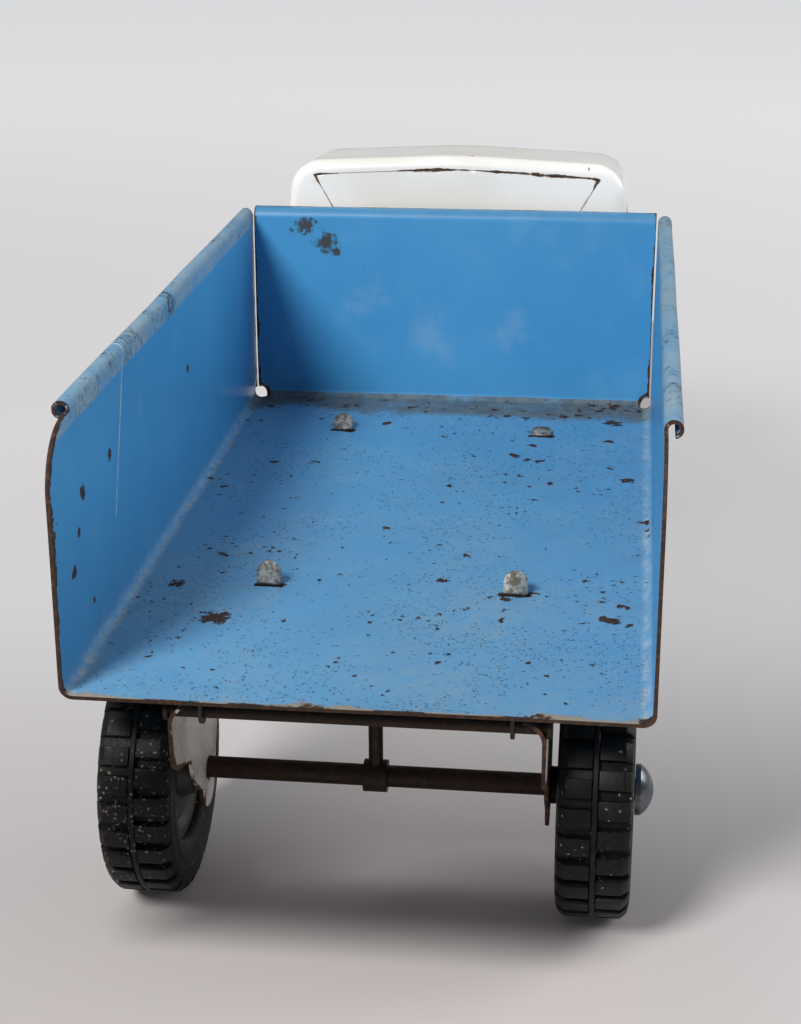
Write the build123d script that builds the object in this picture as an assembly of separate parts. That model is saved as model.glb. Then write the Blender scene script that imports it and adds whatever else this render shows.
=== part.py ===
from build123d import *

import os
from math import pi, sqrt

# Pressed-steel toy tipper lorry: blue tipping tray, cream chassis and cab, black moulded wheels.
#
# Frame: +X towards the front of the lorry, +Y to its left, +Z up. The origin is on the ground,
# in the middle of the length and width. Millimetres.

# ---------------------------------------------------------------- driving sizes
SHEET = 1.0  # steel sheet of every pressing
FOLD = 2.5  # inner radius of the tray's folds

TRAY_WIDTH = 150.0
TRAY_LENGTH = 265.0
TRAY_HEIGHT = 71.0  # floor to the top of the rolled rims
TYRE_GAP = 5.5  # top of the tyres to the tray's floor
RIM_RADIUS = 2.4  # outside of the rolled rims
RIM_START = 22.0  # from the tray's open end to the rolled rims
REAR_CORNER = 17.0  # rounding of the side walls at the open end
SEAM = 0.6  # gap at the tray's unwelded corner seams
RELIEF_RADIUS = 2.9  # round relief where three folds meet
LIP = 4.0  # forward lip on top of the headboard

TYRE_DIAMETER = 70.0
TYRE_WIDTH = 20.0
TRACK = 121.0
AXLE_DIAMETER = 6.0
WHEELBASE = 330.0
REAR_OVERHANG = 42.0  # tray's open end to the rear axle

CHASSIS_WIDTH = 96.0
CHASSIS_DEPTH = 16.0  # flange depth between the axles
HINGE_EYE = 3.7  # outer radius of the chassis's ends round the hinge rod
CHASSIS_CORNER = 6.0  # outer radius along the chassis's edges
CHASSIS_NOSE = 28.0  # front axle to the chassis's front end

HINGE_DIAMETER = 4.0
HINGE_SETBACK = 6.0  # tray's open end to the hinge line
HINGE_DROP = 5.0  # tray's floor down to the hinge line
REST_GAP = 0.3  # tray bearer above the chassis when it rests

CAB_WIDTH = 130.0
CAB_DEPTH = 68.0
CAB_RISE = 89.0  # chassis to the roof's rear edge
CAB_DROP = 23.2  # chassis down to the bottom edge of the doors
CAB_GAP = 9.0  # tray to cab
BONNET_INSET = 4.0  # chassis's side to the bonnet's side
BONNET_RISE = 43.8
WING_GAP = 8.0  # tyre to the outside of the front wings
BUMPER_WIDTH = 148.0
BUMPER_HEIGHT = 12.0
BUMPER_AHEAD = 7.0  # front wings to the bumper's face
HEADLAMP_DIAMETER = 17.0

RUNNING = 0.06  # radial clearance of a turning fit
LOOSE = 0.3  # clearance between pieces that only pass each other

# ---------------------------------------------------------------- places worked out from them
AXLE_HEIGHT = TYRE_DIAMETER / 2
WING_RADIUS = AXLE_HEIGHT + WING_GAP  # outside of the front wings
LENGTH = REAR_OVERHANG + WHEELBASE + WING_RADIUS + BUMPER_AHEAD
TAIL = -LENGTH / 2  # the tray's open end
FLOOR_HEIGHT = TYRE_DIAMETER + TYRE_GAP
REAR_AXLE_X = TAIL + REAR_OVERHANG
FRONT_AXLE_X = REAR_AXLE_X + WHEELBASE
TRAY_FRONT = TAIL + TRAY_LENGTH
HINGE_X = TAIL + HINGE_SETBACK
HINGE_Z = FLOOR_HEIGHT - HINGE_DROP
BEARER_TOP = FLOOR_HEIGHT - SHEET
CHASSIS_TOP = BEARER_TOP - SHEET - REST_GAP
CHASSIS_BOTTOM = CHASSIS_TOP - SHEET - CHASSIS_DEPTH
CHASSIS_SIDE = CHASSIS_WIDTH / 2
CHASSIS_END = FRONT_AXLE_X + CHASSIS_NOSE
AXLE_RADIUS = AXLE_DIAMETER / 2
HINGE_RADIUS = HINGE_DIAMETER / 2
CAB_BACK = TRAY_FRONT + CAB_GAP
CAB_FRONT = CAB_BACK + CAB_DEPTH
CAB_HEIGHT = CHASSIS_TOP + CAB_RISE
CAB_SKIRT = CHASSIS_TOP - CAB_DROP
BONNET_WIDTH = CHASSIS_WIDTH - 2 * BONNET_INSET
BONNET_HEIGHT = CHASSIS_TOP + BONNET_RISE
NOSE = TAIL + LENGTH


def save(shape, name):
    """Writes one piece, or one group of like pieces, as its own STEP file."""
    shape.label = name
    export_step(shape, f"parts/{name}.step")


def both_sides(piece):
    """A left-hand piece with its right-hand twin."""
    return Compound([*solids_of(piece), *solids_of(mirror(piece, about=Plane.XZ))])


def solids_of(shape):
    return list(shape.solids())


def box_between(x0, x1, y0, y1, z0, z1):
    return Pos((x0 + x1) / 2, (y0 + y1) / 2, (z0 + z1) / 2) * Box(x1 - x0, y1 - y0, z1 - z0)


def rod_across(x, z, radius, y0, y1):
    """Round bar along Y."""
    return Pos(x, (y0 + y1) / 2, z) * Rot(X=90) * Cylinder(radius, y1 - y0)


def along_x(face_yz, x0, x1):
    """Extrudes a section drawn as (y, z) on Plane.YZ from x0 to x1."""
    return extrude(Plane.YZ.offset(x0) * face_yz, amount=x1 - x0)


def across_y(face_xz, y0, y1):
    """Extrudes a side view drawn as (x, z) from y0 to y1."""
    side = Plane(origin=(0, y0, 0), x_dir=(1, 0, 0), z_dir=(0, -1, 0))
    return extrude(side * face_xz, amount=-(y1 - y0))


def outline(*points):
    return make_face(Polyline(*points, close=True))


def rounded(face, corners, radius):
    """Rounds those corners of a face that lie at the given points."""
    picked = [
        v for v in face.vertices() if any((Vector(v.X, v.Y) - Vector(*c)).length < 1e-4 for c in corners)
    ]
    return fillet(picked, radius)


# ---------------------------------------------------------------- tray
TAB_WIDTH = 7.0
TAB_HEIGHT = 6.5
BEARER_WIDTH = CHASSIS_WIDTH - 13.0
TAB_SPAN = BEARER_WIDTH - 12.0  # across, centre to centre
TAB_REAR = 78.0  # from the tray's open end
TAB_FRONT = 223.0
SLOT_CLEARANCE = 0.4
TAB_LEANS = {  # degrees from upright towards the front, by place and side
    (TAB_REAR, 1): 14.0,
    (TAB_REAR, -1): 20.0,
    (TAB_FRONT, 1): 56.0,
    (TAB_FRONT, -1): 84.0,
}


def channel_section(width, top, bottom, corner, upright):
    """U of sheet in (y, z): open towards the top when upright, else towards the bottom."""
    half = width / 2
    outer = outline((-half, bottom), (half, bottom), (half, top), (-half, top))
    level = bottom if upright else top
    outer = rounded(outer, [(-half, level), (half, level)], corner)
    gap_bottom, gap_top = (bottom + SHEET, top) if upright else (bottom, top - SHEET)
    inner = outline(
        (-half + SHEET, gap_bottom), (half - SHEET, gap_bottom), (half - SHEET, gap_top), (-half + SHEET, gap_top)
    )
    level = gap_bottom if upright else gap_top
    inner = rounded(inner, [(-half + SHEET, level), (half - SHEET, level)], corner - SHEET)
    return outer - inner


def rim_section():
    """The left wall's rolled rim: the sheet curls up, over and down on the outside."""
    centre_y = TRAY_WIDTH / 2 - SHEET + RIM_RADIUS
    centre_z = FLOOR_HEIGHT + TRAY_HEIGHT - RIM_RADIUS
    ring = Pos(centre_y, centre_z) * (Circle(RIM_RADIUS) - Circle(RIM_RADIUS - SHEET))
    opening = outline(
        (centre_y, centre_z),
        (centre_y - RIM_RADIUS * 2, centre_z - 0.1),
        (centre_y - RIM_RADIUS * 2, centre_z - RIM_RADIUS * 2),
        (centre_y + RIM_RADIUS * 0.4, centre_z - RIM_RADIUS * 2),
    )
    return ring - opening


def tray():
    half = TRAY_WIDTH / 2
    wall_top = FLOOR_HEIGHT + TRAY_HEIGHT - RIM_RADIUS
    fold_outer = FOLD + SHEET
    sides = along_x(
        channel_section(TRAY_WIDTH, wall_top, FLOOR_HEIGHT - SHEET, fold_outer, True), TAIL, TRAY_FRONT
    )
    # the side walls' free ends are rounded down to the open end
    keep = outline(
        (TAIL, FLOOR_HEIGHT - 9 * SHEET),
        (TRAY_FRONT, FLOOR_HEIGHT - 9 * SHEET),
        (TRAY_FRONT, wall_top),
        (TAIL, wall_top),
    )
    keep = rounded(keep, [(TAIL, wall_top)], REAR_CORNER)
    sides = sides & across_y(keep, -half - 1, half + 1)
    # floor and side folds stop where the headboard's own fold starts
    sides -= box_between(
        TRAY_FRONT - fold_outer,
        TRAY_FRONT + 1,
        -half + SHEET,
        half - SHEET,
        FLOOR_HEIGHT - 2 * SHEET,
        FLOOR_HEIGHT + fold_outer * 3,
    )
    sides -= box_between(
        TRAY_FRONT - fold_outer, TRAY_FRONT + 1, -half - 1, half + 1, FLOOR_HEIGHT - 2 * SHEET, FLOOR_HEIGHT + FOLD
    )
    rim = along_x(rim_section(), TAIL + RIM_START, TRAY_FRONT - SHEET)
    rims = rim + mirror(rim, about=Plane.XZ)

    head_top = FLOOR_HEIGHT + TRAY_HEIGHT - SHEET
    head = outline(
        (TRAY_FRONT - fold_outer * 2, FLOOR_HEIGHT - SHEET),
        (TRAY_FRONT, FLOOR_HEIGHT - SHEET),
        (TRAY_FRONT, head_top),
        (TRAY_FRONT + LIP, head_top),
        (TRAY_FRONT + LIP, head_top + SHEET),
        (TRAY_FRONT - SHEET, head_top + SHEET),
        (TRAY_FRONT - SHEET, FLOOR_HEIGHT),
        (TRAY_FRONT - fold_outer * 2, FLOOR_HEIGHT),
    )
    head = rounded(head, [(TRAY_FRONT, FLOOR_HEIGHT - SHEET), (TRAY_FRONT - SHEET, head_top + SHEET)], fold_outer)
    head = rounded(head, [(TRAY_FRONT - SHEET, FLOOR_HEIGHT)], FOLD)
    head = rounded(head, [(TRAY_FRONT, head_top)], FOLD)
    head_half = half - SHEET - SEAM
    headboard = across_y(head, -head_half, head_half)

    body = sides + rims + headboard
    # round relief holes where three folds meet
    for side in (-1, 1):
        body -= Pos(TRAY_FRONT - FOLD, side * (half - FOLD), FLOOR_HEIGHT + FOLD / 2) * Sphere(RELIEF_RADIUS)
        for x in (TAB_REAR, TAB_FRONT):
            body -= Pos(TAIL + x, side * TAB_SPAN / 2, FLOOR_HEIGHT) * Box(
                SHEET + 2 * SLOT_CLEARANCE, TAB_WIDTH + 2 * SLOT_CLEARANCE, 6 * SHEET
            )
    return body


# ---------------------------------------------------------------- bearer under the tray
BEARER_RAIL = 15.0  # width of the bearer's two rails
LUG_RADIUS = 3.5  # round ends of the bearer's hinge lugs
LUG_INSET = 2.0  # lug to the bend of the chassis's flange
LUG_OUTER = CHASSIS_WIDTH / 2 - CHASSIS_CORNER - LUG_INSET


def tab(lean):
    """One fixing tab: out of the bearer through the tray's slot, then bent over by lean degrees."""
    foot = 1.5 * SHEET + SLOT_CLEARANCE / 8
    stem = Pos(0, 0, -SHEET / 2 + foot / 2) * Box(SHEET, TAB_WIDTH, foot + SHEET)
    blade = Plane.YZ * (
        Pos(0, (TAB_HEIGHT - TAB_WIDTH / 2) / 2) * Rectangle(TAB_WIDTH, TAB_HEIGHT - TAB_WIDTH / 2)
        + Pos(0, TAB_HEIGHT - TAB_WIDTH / 2) * Circle(TAB_WIDTH / 2)
    )
    blade = Pos(-SHEET / 2, 0, 0) * extrude(blade, amount=SHEET)
    elbow = Rot(X=90) * Cylinder(SHEET / 2, TAB_WIDTH)
    return stem + Pos(0, 0, foot) * (elbow + Rot(Y=lean) * (blade - Pos(0, 0, -5) * Box(9, 9, 10)))


def tray_bearer():
    """Ladder-shaped plate that carries the tray, with a hinge lug bent down at each rear corner."""
    start = HINGE_X
    end = TAIL + TAB_FRONT + BEARER_RAIL
    low = BEARER_TOP - SHEET
    half = BEARER_WIDTH / 2
    plate = box_between(start, end, -half, half, low, BEARER_TOP)
    window = (TAB_REAR + BEARER_RAIL, (TAB_REAR + TAB_FRONT) / 2 - BEARER_RAIL / 2)
    window_2 = ((TAB_REAR + TAB_FRONT) / 2 + BEARER_RAIL / 2, TAB_FRONT - BEARER_RAIL)
    for a, b in (window, window_2):
        plate -= box_between(
            TAIL + a, TAIL + b, -half + BEARER_RAIL, half - BEARER_RAIL, low - 1, BEARER_TOP + 1
        )
    for (x, side), lean in TAB_LEANS.items():
        plate += Pos(TAIL + x, side * TAB_SPAN / 2, BEARER_TOP) * tab(lean)
    neck = outline(
        (HINGE_X - LUG_RADIUS, HINGE_Z),
        (HINGE_X + LUG_RADIUS, HINGE_Z),
        (HINGE_X + 2 * LUG_RADIUS, low),
        (HINGE_X + 2 * LUG_RADIUS, BEARER_TOP),
        (HINGE_X - LUG_RADIUS, BEARER_TOP),
    )
    lug = neck + Pos(HINGE_X, HINGE_Z) * Circle(LUG_RADIUS)
    for y in (-LUG_OUTER, LUG_OUTER - SHEET):
        plate += across_y(lug, y, y + SHEET)
    return plate - rod_across(HINGE_X, HINGE_Z, HINGE_RADIUS + RUNNING, -half - 1, half + 1)


# ---------------------------------------------------------------- chassis
EAR_RADIUS = 8.5  # round axle ears on the chassis's flanges
FLAP_DEPTH = 22.0  # rear flaps, down from the tray's floor
FLAP_LENGTH = 19.0
FLAP_DROP = 2.0  # the flap's rear corner is cut off, and its foot slopes down forwards
EAR_DROP = 3.0  # the ears' round ends are this much below the axle
WEB_CUT_LENGTH = 10.0  # web cut back from the hinge rod
RIVET_RADIUS = 1.2
RIVET_HEAD = 2.4
RIVET_RISE = 1.3
CAB_RIVET_INSET = 14.0
BONNET_FLANGE = 9.0
BUMPER_FOOT = 12.0
BUMPER_IRON = 10.0  # width of each bumper iron
BUMPER_RIVET_Y = CHASSIS_SIDE - 22.0
CAB_RIVET_Y = CHASSIS_SIDE - 13.5
CAB_RIVETS = [(x, y) for x in (CAB_BACK + CAB_RIVET_INSET, CAB_FRONT - CAB_RIVET_INSET)
              for y in (-CAB_RIVET_Y, CAB_RIVET_Y)]
BONNET_RIVETS = [(x, y) for x in (FRONT_AXLE_X - 12, FRONT_AXLE_X + 12) for y in (-CAB_RIVET_Y, CAB_RIVET_Y)]
BUMPER_RIVETS = [(CHASSIS_END - BUMPER_FOOT / 2, y) for y in (-BUMPER_RIVET_Y, BUMPER_RIVET_Y)]


def axle_ear(x):
    """Side view of an axle ear: a tongue from the flange down to a round end."""
    foot = AXLE_HEIGHT - EAR_DROP
    tongue = outline(
        (x - EAR_RADIUS, foot),
        (x + EAR_RADIUS, foot),
        (x + 2 * EAR_RADIUS, CHASSIS_BOTTOM),
        (x + 2 * EAR_RADIUS, CHASSIS_TOP),
        (x - 2.4 * EAR_RADIUS, CHASSIS_TOP),
        (x - 2.4 * EAR_RADIUS, AXLE_HEIGHT + 1.5 * EAR_RADIUS),
        (x - 2 * EAR_RADIUS, AXLE_HEIGHT + EAR_RADIUS / 2),
    )
    return tongue + Pos(x, foot) * Circle(EAR_RADIUS)


def chassis_side():
    """Side view of the chassis: rounded ends about the hinge, rear flaps, axle ears."""
    start = HINGE_X - HINGE_EYE
    flap_foot = FLOOR_HEIGHT - FLAP_DEPTH
    side = outline(
        (start, HINGE_Z),
        (start + FLAP_DROP / 2, flap_foot + FLAP_DROP),
        (start + 3 * FLAP_DROP, flap_foot - FLAP_DROP),
        (start + FLAP_LENGTH, flap_foot - 3 * FLAP_DROP),
        (REAR_AXLE_X - EAR_RADIUS, CHASSIS_BOTTOM),
        (CHASSIS_END - 6, CHASSIS_BOTTOM),
        (CHASSIS_END, CHASSIS_BOTTOM + 6),
        (CHASSIS_END, CHASSIS_TOP),
        (HINGE_X, CHASSIS_TOP),
        (HINGE_X, HINGE_Z),
    )
    return side + Pos(HINGE_X, HINGE_Z) * Circle(HINGE_EYE) + axle_ear(REAR_AXLE_X) + axle_ear(FRONT_AXLE_X)


def rivet_holes(places):
    """Cutters for rivet shanks at (x, y) places, through the sheets about the chassis's web."""
    return [Pos(x, y, CHASSIS_TOP) * Cylinder(RIVET_RADIUS + RUNNING, 8 * SHEET) for x, y in places]


def chassis_frame():
    lowest = AXLE_HEIGHT - EAR_DROP - EAR_RADIUS
    start = HINGE_X - HINGE_EYE
    section = channel_section(CHASSIS_WIDTH, CHASSIS_TOP, lowest - 1, CHASSIS_CORNER, False)
    frame = along_x(section, start, CHASSIS_END) & across_y(chassis_side(), -CHASSIS_SIDE - 1, CHASSIS_SIDE + 1)
    web_half = CHASSIS_SIDE - CHASSIS_CORNER
    frame -= box_between(
        start - 1, HINGE_X + WEB_CUT_LENGTH, -web_half, web_half, CHASSIS_TOP - 2 * SHEET, CHASSIS_TOP + 1
    )
    for x in (REAR_AXLE_X, FRONT_AXLE_X):
        frame -= rod_across(x, AXLE_HEIGHT, AXLE_RADIUS + RUNNING, -CHASSIS_SIDE - 1, CHASSIS_SIDE + 1)
    frame -= rod_across(HINGE_X, HINGE_Z, HINGE_RADIUS + RUNNING, -CHASSIS_SIDE - 1, CHASSIS_SIDE + 1)
    return frame - rivet_holes(CAB_RIVETS + BONNET_RIVETS + BUMPER_RIVETS + [(REAR_AXLE_X, 0)])


def rivets(places, top, grip):
    """Rivets at (x, y) places: domed heads on the level top, shanks through grip of sheet, upset below."""
    ball = (RIVET_HEAD**2 + RIVET_RISE**2) / (2 * RIVET_RISE)
    cap = Box(4 * RIVET_HEAD, 4 * RIVET_HEAD, 2 * RIVET_RISE)
    head = Pos(0, 0, RIVET_RISE - ball) * Sphere(ball) & Pos(0, 0, RIVET_RISE) * cap
    shank = Pos(0, 0, -grip / 2) * Cylinder(RIVET_RADIUS, grip)
    upset = Pos(0, 0, -grip - SHEET / 2) * Cylinder(RIVET_RADIUS + 0.6, SHEET)
    one = head + shank + upset
    return Compound([s for x, y in places for s in solids_of(Pos(x, y, top) * one)])


# ---------------------------------------------------------------- axles, wheels and their fixings
WHEEL_INNER = TRACK / 2 - TYRE_WIDTH / 2
WHEEL_OUTER = TRACK / 2 + TYRE_WIDTH / 2
CAP_RADIUS = 7.0
CAP_HEIGHT = 5.0
CAP_SKIRT = 1.4
HUB_RADIUS = 20.0
BOSS_RADIUS = 7.5
TREAD_DEPTH = 2.0
TREAD_COUNT = 28
TREAD_RIB = 1.6  # rib left round the middle of the tread
TREAD_SHOULDER = 2.2  # solid shoulder each side
SIDE_GAP = 0.5  # wheel's end play on each side


def axle(x):
    return rod_across(x, AXLE_HEIGHT, AXLE_RADIUS, -WHEEL_OUTER - 3, WHEEL_OUTER + 3)


def axle_cap():
    """Left-hand domed push-on cap, along Y from the wheel's face outwards, for an axle at x = 0."""
    base = WHEEL_OUTER + SIDE_GAP
    ball = (CAP_RADIUS**2 + (CAP_HEIGHT - CAP_SKIRT) ** 2) / (2 * (CAP_HEIGHT - CAP_SKIRT))
    dome = Pos(0, base + CAP_HEIGHT - ball, AXLE_HEIGHT) * Sphere(ball)
    dome &= rod_across(0, AXLE_HEIGHT, CAP_RADIUS, base + CAP_SKIRT, base + CAP_HEIGHT + 1)
    body = dome + rod_across(0, AXLE_HEIGHT, CAP_RADIUS, base, base + CAP_SKIRT)
    return body - rod_across(0, AXLE_HEIGHT, AXLE_RADIUS, base - 1, WHEEL_OUTER + 3)


def axle_washer():
    """Left-hand washer between a chassis ear and its wheel, for an axle at x = 0."""
    y0 = CHASSIS_SIDE + 0.2
    y1 = WHEEL_INNER - SIDE_GAP
    washer = rod_across(0, AXLE_HEIGHT, 1.7 * AXLE_RADIUS, y0, y1)
    return washer - rod_across(0, AXLE_HEIGHT, AXLE_RADIUS + RUNNING, y0, y1)


def about_axle(points):
    """Turns an outline of (y from the wheel's middle, radius) into a solid of revolution about Y."""
    face = make_face(Plane.YZ * Polyline(*points, close=True))
    return revolve(face, Axis.Y)


def tyre():
    """Tyre at the origin, axis along Y, with two rows of pockets in its tread."""
    half = TYRE_WIDTH / 2
    radius = TYRE_DIAMETER / 2
    carcass = about_axle(
        [
            (-half + 3.2, HUB_RADIUS),
            (half - 3.2, HUB_RADIUS),
            (half - 1.0, HUB_RADIUS + 1.5),
            (half, HUB_RADIUS + 5.0),
            (half, radius - 5.0),
            (half - 0.8, radius - 2.4),
            (half - 3.4, radius),
            (-half + 3.4, radius),
            (-half + 0.8, radius - 2.4),
            (-half, radius - 5.0),
            (-half, HUB_RADIUS + 5.0),
            (-half + 1.0, HUB_RADIUS + 1.5),
        ]
    )
    pitch = 360 / TREAD_COUNT
    pocket_width = half - TREAD_RIB / 2 - TREAD_SHOULDER
    pocket_y = TREAD_RIB / 2 + pocket_width / 2
    pocket_length = 2 * pi * radius / TREAD_COUNT * 0.36
    pockets = []
    for step in range(TREAD_COUNT):
        for side, turn in ((1, 0.0), (-1, pitch * 0.25)):
            cutter = Pos(0, side * pocket_y, radius) * Box(pocket_length, pocket_width, 2 * TREAD_DEPTH)
            pockets.append(Rot(Y=step * pitch + turn) * cutter)
    return carcass - pockets


def hub():
    """Moulded hub at the origin, axis along Y: tyre seat, dished disc and bored boss."""
    half = TYRE_WIDTH / 2
    seat = half - 3.2
    body = about_axle(
        [
            (-half, 0),
            (half, 0),
            (half, BOSS_RADIUS),
            (half - 3.5, BOSS_RADIUS + 1.5),
            (half - 4.5, HUB_RADIUS - 5),
            (seat, HUB_RADIUS - 2.5),
            (seat, HUB_RADIUS),
            (-seat, HUB_RADIUS),
            (-seat, HUB_RADIUS - 2.5),
            (-half + 4.5, HUB_RADIUS - 5),
            (-half + 3.5, BOSS_RADIUS + 1.5),
            (-half, BOSS_RADIUS),
        ]
    )
    return body - rod_across(0, 0, AXLE_RADIUS + RUNNING, -half - 1, half + 1)


HANGER_EYE = 4.5  # outer radius of the eye on the rear axle
HANGER_WIDTH = 6.5
HANGER_ROD = 2.0


def axle_hanger():
    """Eye round the middle of the rear axle, on a short rod from a foot under the chassis's web."""
    foot_top = CHASSIS_TOP - SHEET
    eye = rod_across(REAR_AXLE_X, AXLE_HEIGHT, HANGER_EYE, -HANGER_WIDTH / 2, HANGER_WIDTH / 2)
    rod = Pos(REAR_AXLE_X, 0, (AXLE_HEIGHT + foot_top) / 2) * Cylinder(HANGER_ROD, foot_top - AXLE_HEIGHT)
    foot = Pos(REAR_AXLE_X, 0, foot_top - SHEET / 2) * Cylinder(HANGER_EYE, SHEET)
    tip = Pos(REAR_AXLE_X, 0, foot_top + SHEET / 2 - RUNNING) * Cylinder(RIVET_RADIUS, SHEET)
    body = eye + rod + foot + tip
    return body - rod_across(REAR_AXLE_X, AXLE_HEIGHT, AXLE_RADIUS + RUNNING, -HANGER_WIDTH, HANGER_WIDTH)


def hinge_rod():
    """Hinge rod across the chassis, with a flat upset head outside each flange."""
    head = rod_across(HINGE_X, HINGE_Z, HINGE_RADIUS + 1.0, CHASSIS_SIDE + 0.1, CHASSIS_SIDE + 1.3)
    rod = rod_across(HINGE_X, HINGE_Z, HINGE_RADIUS, -CHASSIS_SIDE - 1.3, CHASSIS_SIDE + 1.3)
    return rod + head + mirror(head, about=Plane.XZ)


# ---------------------------------------------------------------- cab
CAB_CORNER = 12.0  # rounding between the roof and the sides
CAB_EDGE = 4.0  # rounding of the roof and sides into the back
ROOF_FALL = 6.5  # the roof is this much lower at the windscreen
CAB_TAPER = 4.0  # each side leans in by this much at the roof
CROWN = 3.0
SCREEN_RAKE = 9.0
SILL = CHASSIS_TOP + 38.8  # window sills
HEADER = SILL + 29.0  # top of the windows
WINDOW_ROUND = 4.0
PANEL_EDGE = 0.8  # from the rounded rear edge to the back panel
PANEL_TOP = 106.0  # width of the back panel under the roof
PANEL_FOOT = 74.0
PANEL_TAPER = 28.0  # height over which its sides run in
PANEL_SEAM = 0.25
DOOR_LINE = 0.9  # width of the pressed lines round the doors
SEAT_WIDTH = CAB_WIDTH - 30.0
SEAT_HEIGHT = 17.0
SEAT_DEPTH = 26.0
SEAT_BACK = 34.0
FLOOR_RISE = 8.0  # cab floor's side flanges
BODY_CUT = CHASSIS_SIDE + SHEET + LOOSE  # half width of the openings over the chassis


def cab_section(inset):
    """Cross-section of the cab in (y, z) at its rear, taken in all round by inset."""
    half = CAB_WIDTH / 2 - inset
    top = CAB_HEIGHT - inset
    foot = CAB_SKIRT - ROOF_FALL - 5 * inset
    roof_half = half - CAB_TAPER
    section = outline(
        (-half, foot), (half, foot), (half, SILL), (roof_half, top),
        (0, top + CROWN), (-roof_half, top), (-half, SILL)
    )
    section = rounded(section, [(roof_half, top), (-roof_half, top)], CAB_CORNER - inset)
    return rounded(section, [(0, top + CROWN)], 20 * CAB_CORNER)


def cab_block(inset):
    """Solid outline of the cab: its section carried forward with a falling roof, and a raked screen."""
    half = CAB_WIDTH / 2
    back, front = CAB_BACK + inset, CAB_FRONT - inset
    run = sqrt((front - back) ** 2 + ROOF_FALL**2)
    fall = ((front - back) / run, 0, -ROOF_FALL / run)
    block = extrude(Plane.YZ.offset(back) * cab_section(inset), amount=run, dir=fall)
    lean = SCREEN_RAKE * (CAB_HEIGHT + 9 - SILL) / (HEADER - SILL)
    rake = outline((front - lean, CAB_HEIGHT + 9), (front, SILL), (front + 9, SILL), (front + 9, CAB_HEIGHT + 9))
    block -= across_y(rake, -half - 9, half + 9)
    if inset == 0:
        block -= box_between(back - 1, front + 1, -half - 1, half + 1, CAB_SKIRT - 2 * ROOF_FALL - 9, CAB_SKIRT)
    at_back = [e for e in block.edges() if abs(e.bounding_box().max.X - back) < 1e-3 and e.center().Z > SILL]
    return fillet(at_back, CAB_EDGE - inset)


def window(face, corner):
    return fillet(face.vertices(), corner)


def panel_outline(seam):
    """Back panel in (y, z): it follows the roof's edge, then its sides run in to a narrower foot."""
    head, neck = PANEL_TOP / 2 - seam, PANEL_FOOT / 2 - seam
    foot = CHASSIS_TOP + LOOSE + seam
    top = CAB_HEIGHT - CAB_EDGE
    sides = outline(
        (-neck, foot), (neck, foot), (neck, top - PANEL_TAPER), (head, top), (head, top + 2 * CAB_EDGE),
        (-head, top + 2 * CAB_EDGE), (-head, top), (-neck, top - PANEL_TAPER)
    )
    return sides & cab_section(CAB_EDGE + PANEL_EDGE + seam)


def cab_shell():
    """Cab pressing: roof, sides with door lines, windscreen frame; open at its foot."""
    shell = cab_block(0) - cab_block(SHEET)
    pane_edge = CAB_WIDTH / 2 - CAB_CORNER
    for side in (-1, 1):
        y0, y1 = side * 3.0, side * pane_edge
        pane = outline((y0, SILL + 4), (y1, SILL + 4), (y1, HEADER), (y0, HEADER))
        shell -= along_x(window(pane, WINDOW_ROUND), CAB_FRONT - 2 * SCREEN_RAKE, CAB_FRONT + 5)
    door_back, door_front = CAB_BACK + 14, CAB_FRONT - 11
    light = outline(
        (door_back, SILL + 2), (door_front, SILL + 2), (door_front - SCREEN_RAKE, HEADER), (door_back, HEADER)
    )
    shell -= across_y(window(light, WINDOW_ROUND), -CAB_WIDTH, CAB_WIDTH)
    shell -= along_x(panel_outline(0), CAB_BACK - 1, CAB_BACK + 3 * SHEET)
    shell -= box_between(
        CAB_BACK - 1, CAB_FRONT + 1, -BODY_CUT, BODY_CUT, CAB_SKIRT - 6, CHASSIS_TOP + LOOSE
    )
    engine_half = BONNET_WIDTH / 2 - BONNET_ROUND / 2
    shell -= box_between(
        CAB_FRONT - 3, CAB_FRONT + 1, -engine_half, engine_half, CHASSIS_TOP, BONNET_HEIGHT - BONNET_ROUND
    )
    wheel_arch = Pos(FRONT_AXLE_X, AXLE_HEIGHT) * Circle(WING_RADIUS + LOOSE)
    shell -= across_y(wheel_arch, -CAB_WIDTH, CAB_WIDTH)
    depth = 0.7 * SHEET
    for side in (-1, 1):
        y = side * CAB_WIDTH / 2
        for x in (CAB_BACK + 10, CAB_FRONT - 7):
            shell -= Pos(x, y, (CAB_SKIRT + SILL) / 2 + 4) * Box(DOOR_LINE, depth, SILL - CAB_SKIRT - 14)
        shell -= Pos((CAB_BACK + CAB_FRONT + 3) / 2, y, CAB_SKIRT + 11) * Box(CAB_DEPTH - 17, depth, DOOR_LINE)
    return shell


def cab_back_panel():
    """Back panel let into the cab's rear face, with a foot riveted to the cab floor."""
    panel = along_x(panel_outline(PANEL_SEAM), CAB_BACK, CAB_BACK + SHEET)
    z = CHASSIS_TOP + SHEET
    neck = PANEL_FOOT / 2 - SHEET
    foot_half = CAB_RIVET_Y + RIVET_HEAD + SHEET
    foot_back, foot_front = CAB_BACK + SHEET + LOOSE, CAB_BACK + CAB_RIVET_INSET + RIVET_HEAD + SHEET
    panel += box_between(CAB_BACK, foot_front, -neck, neck, z, z + SHEET)
    panel += box_between(foot_back, foot_front, -foot_half, foot_half, z, z + SHEET)
    return panel - rivet_holes(CAB_RIVETS)


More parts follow.
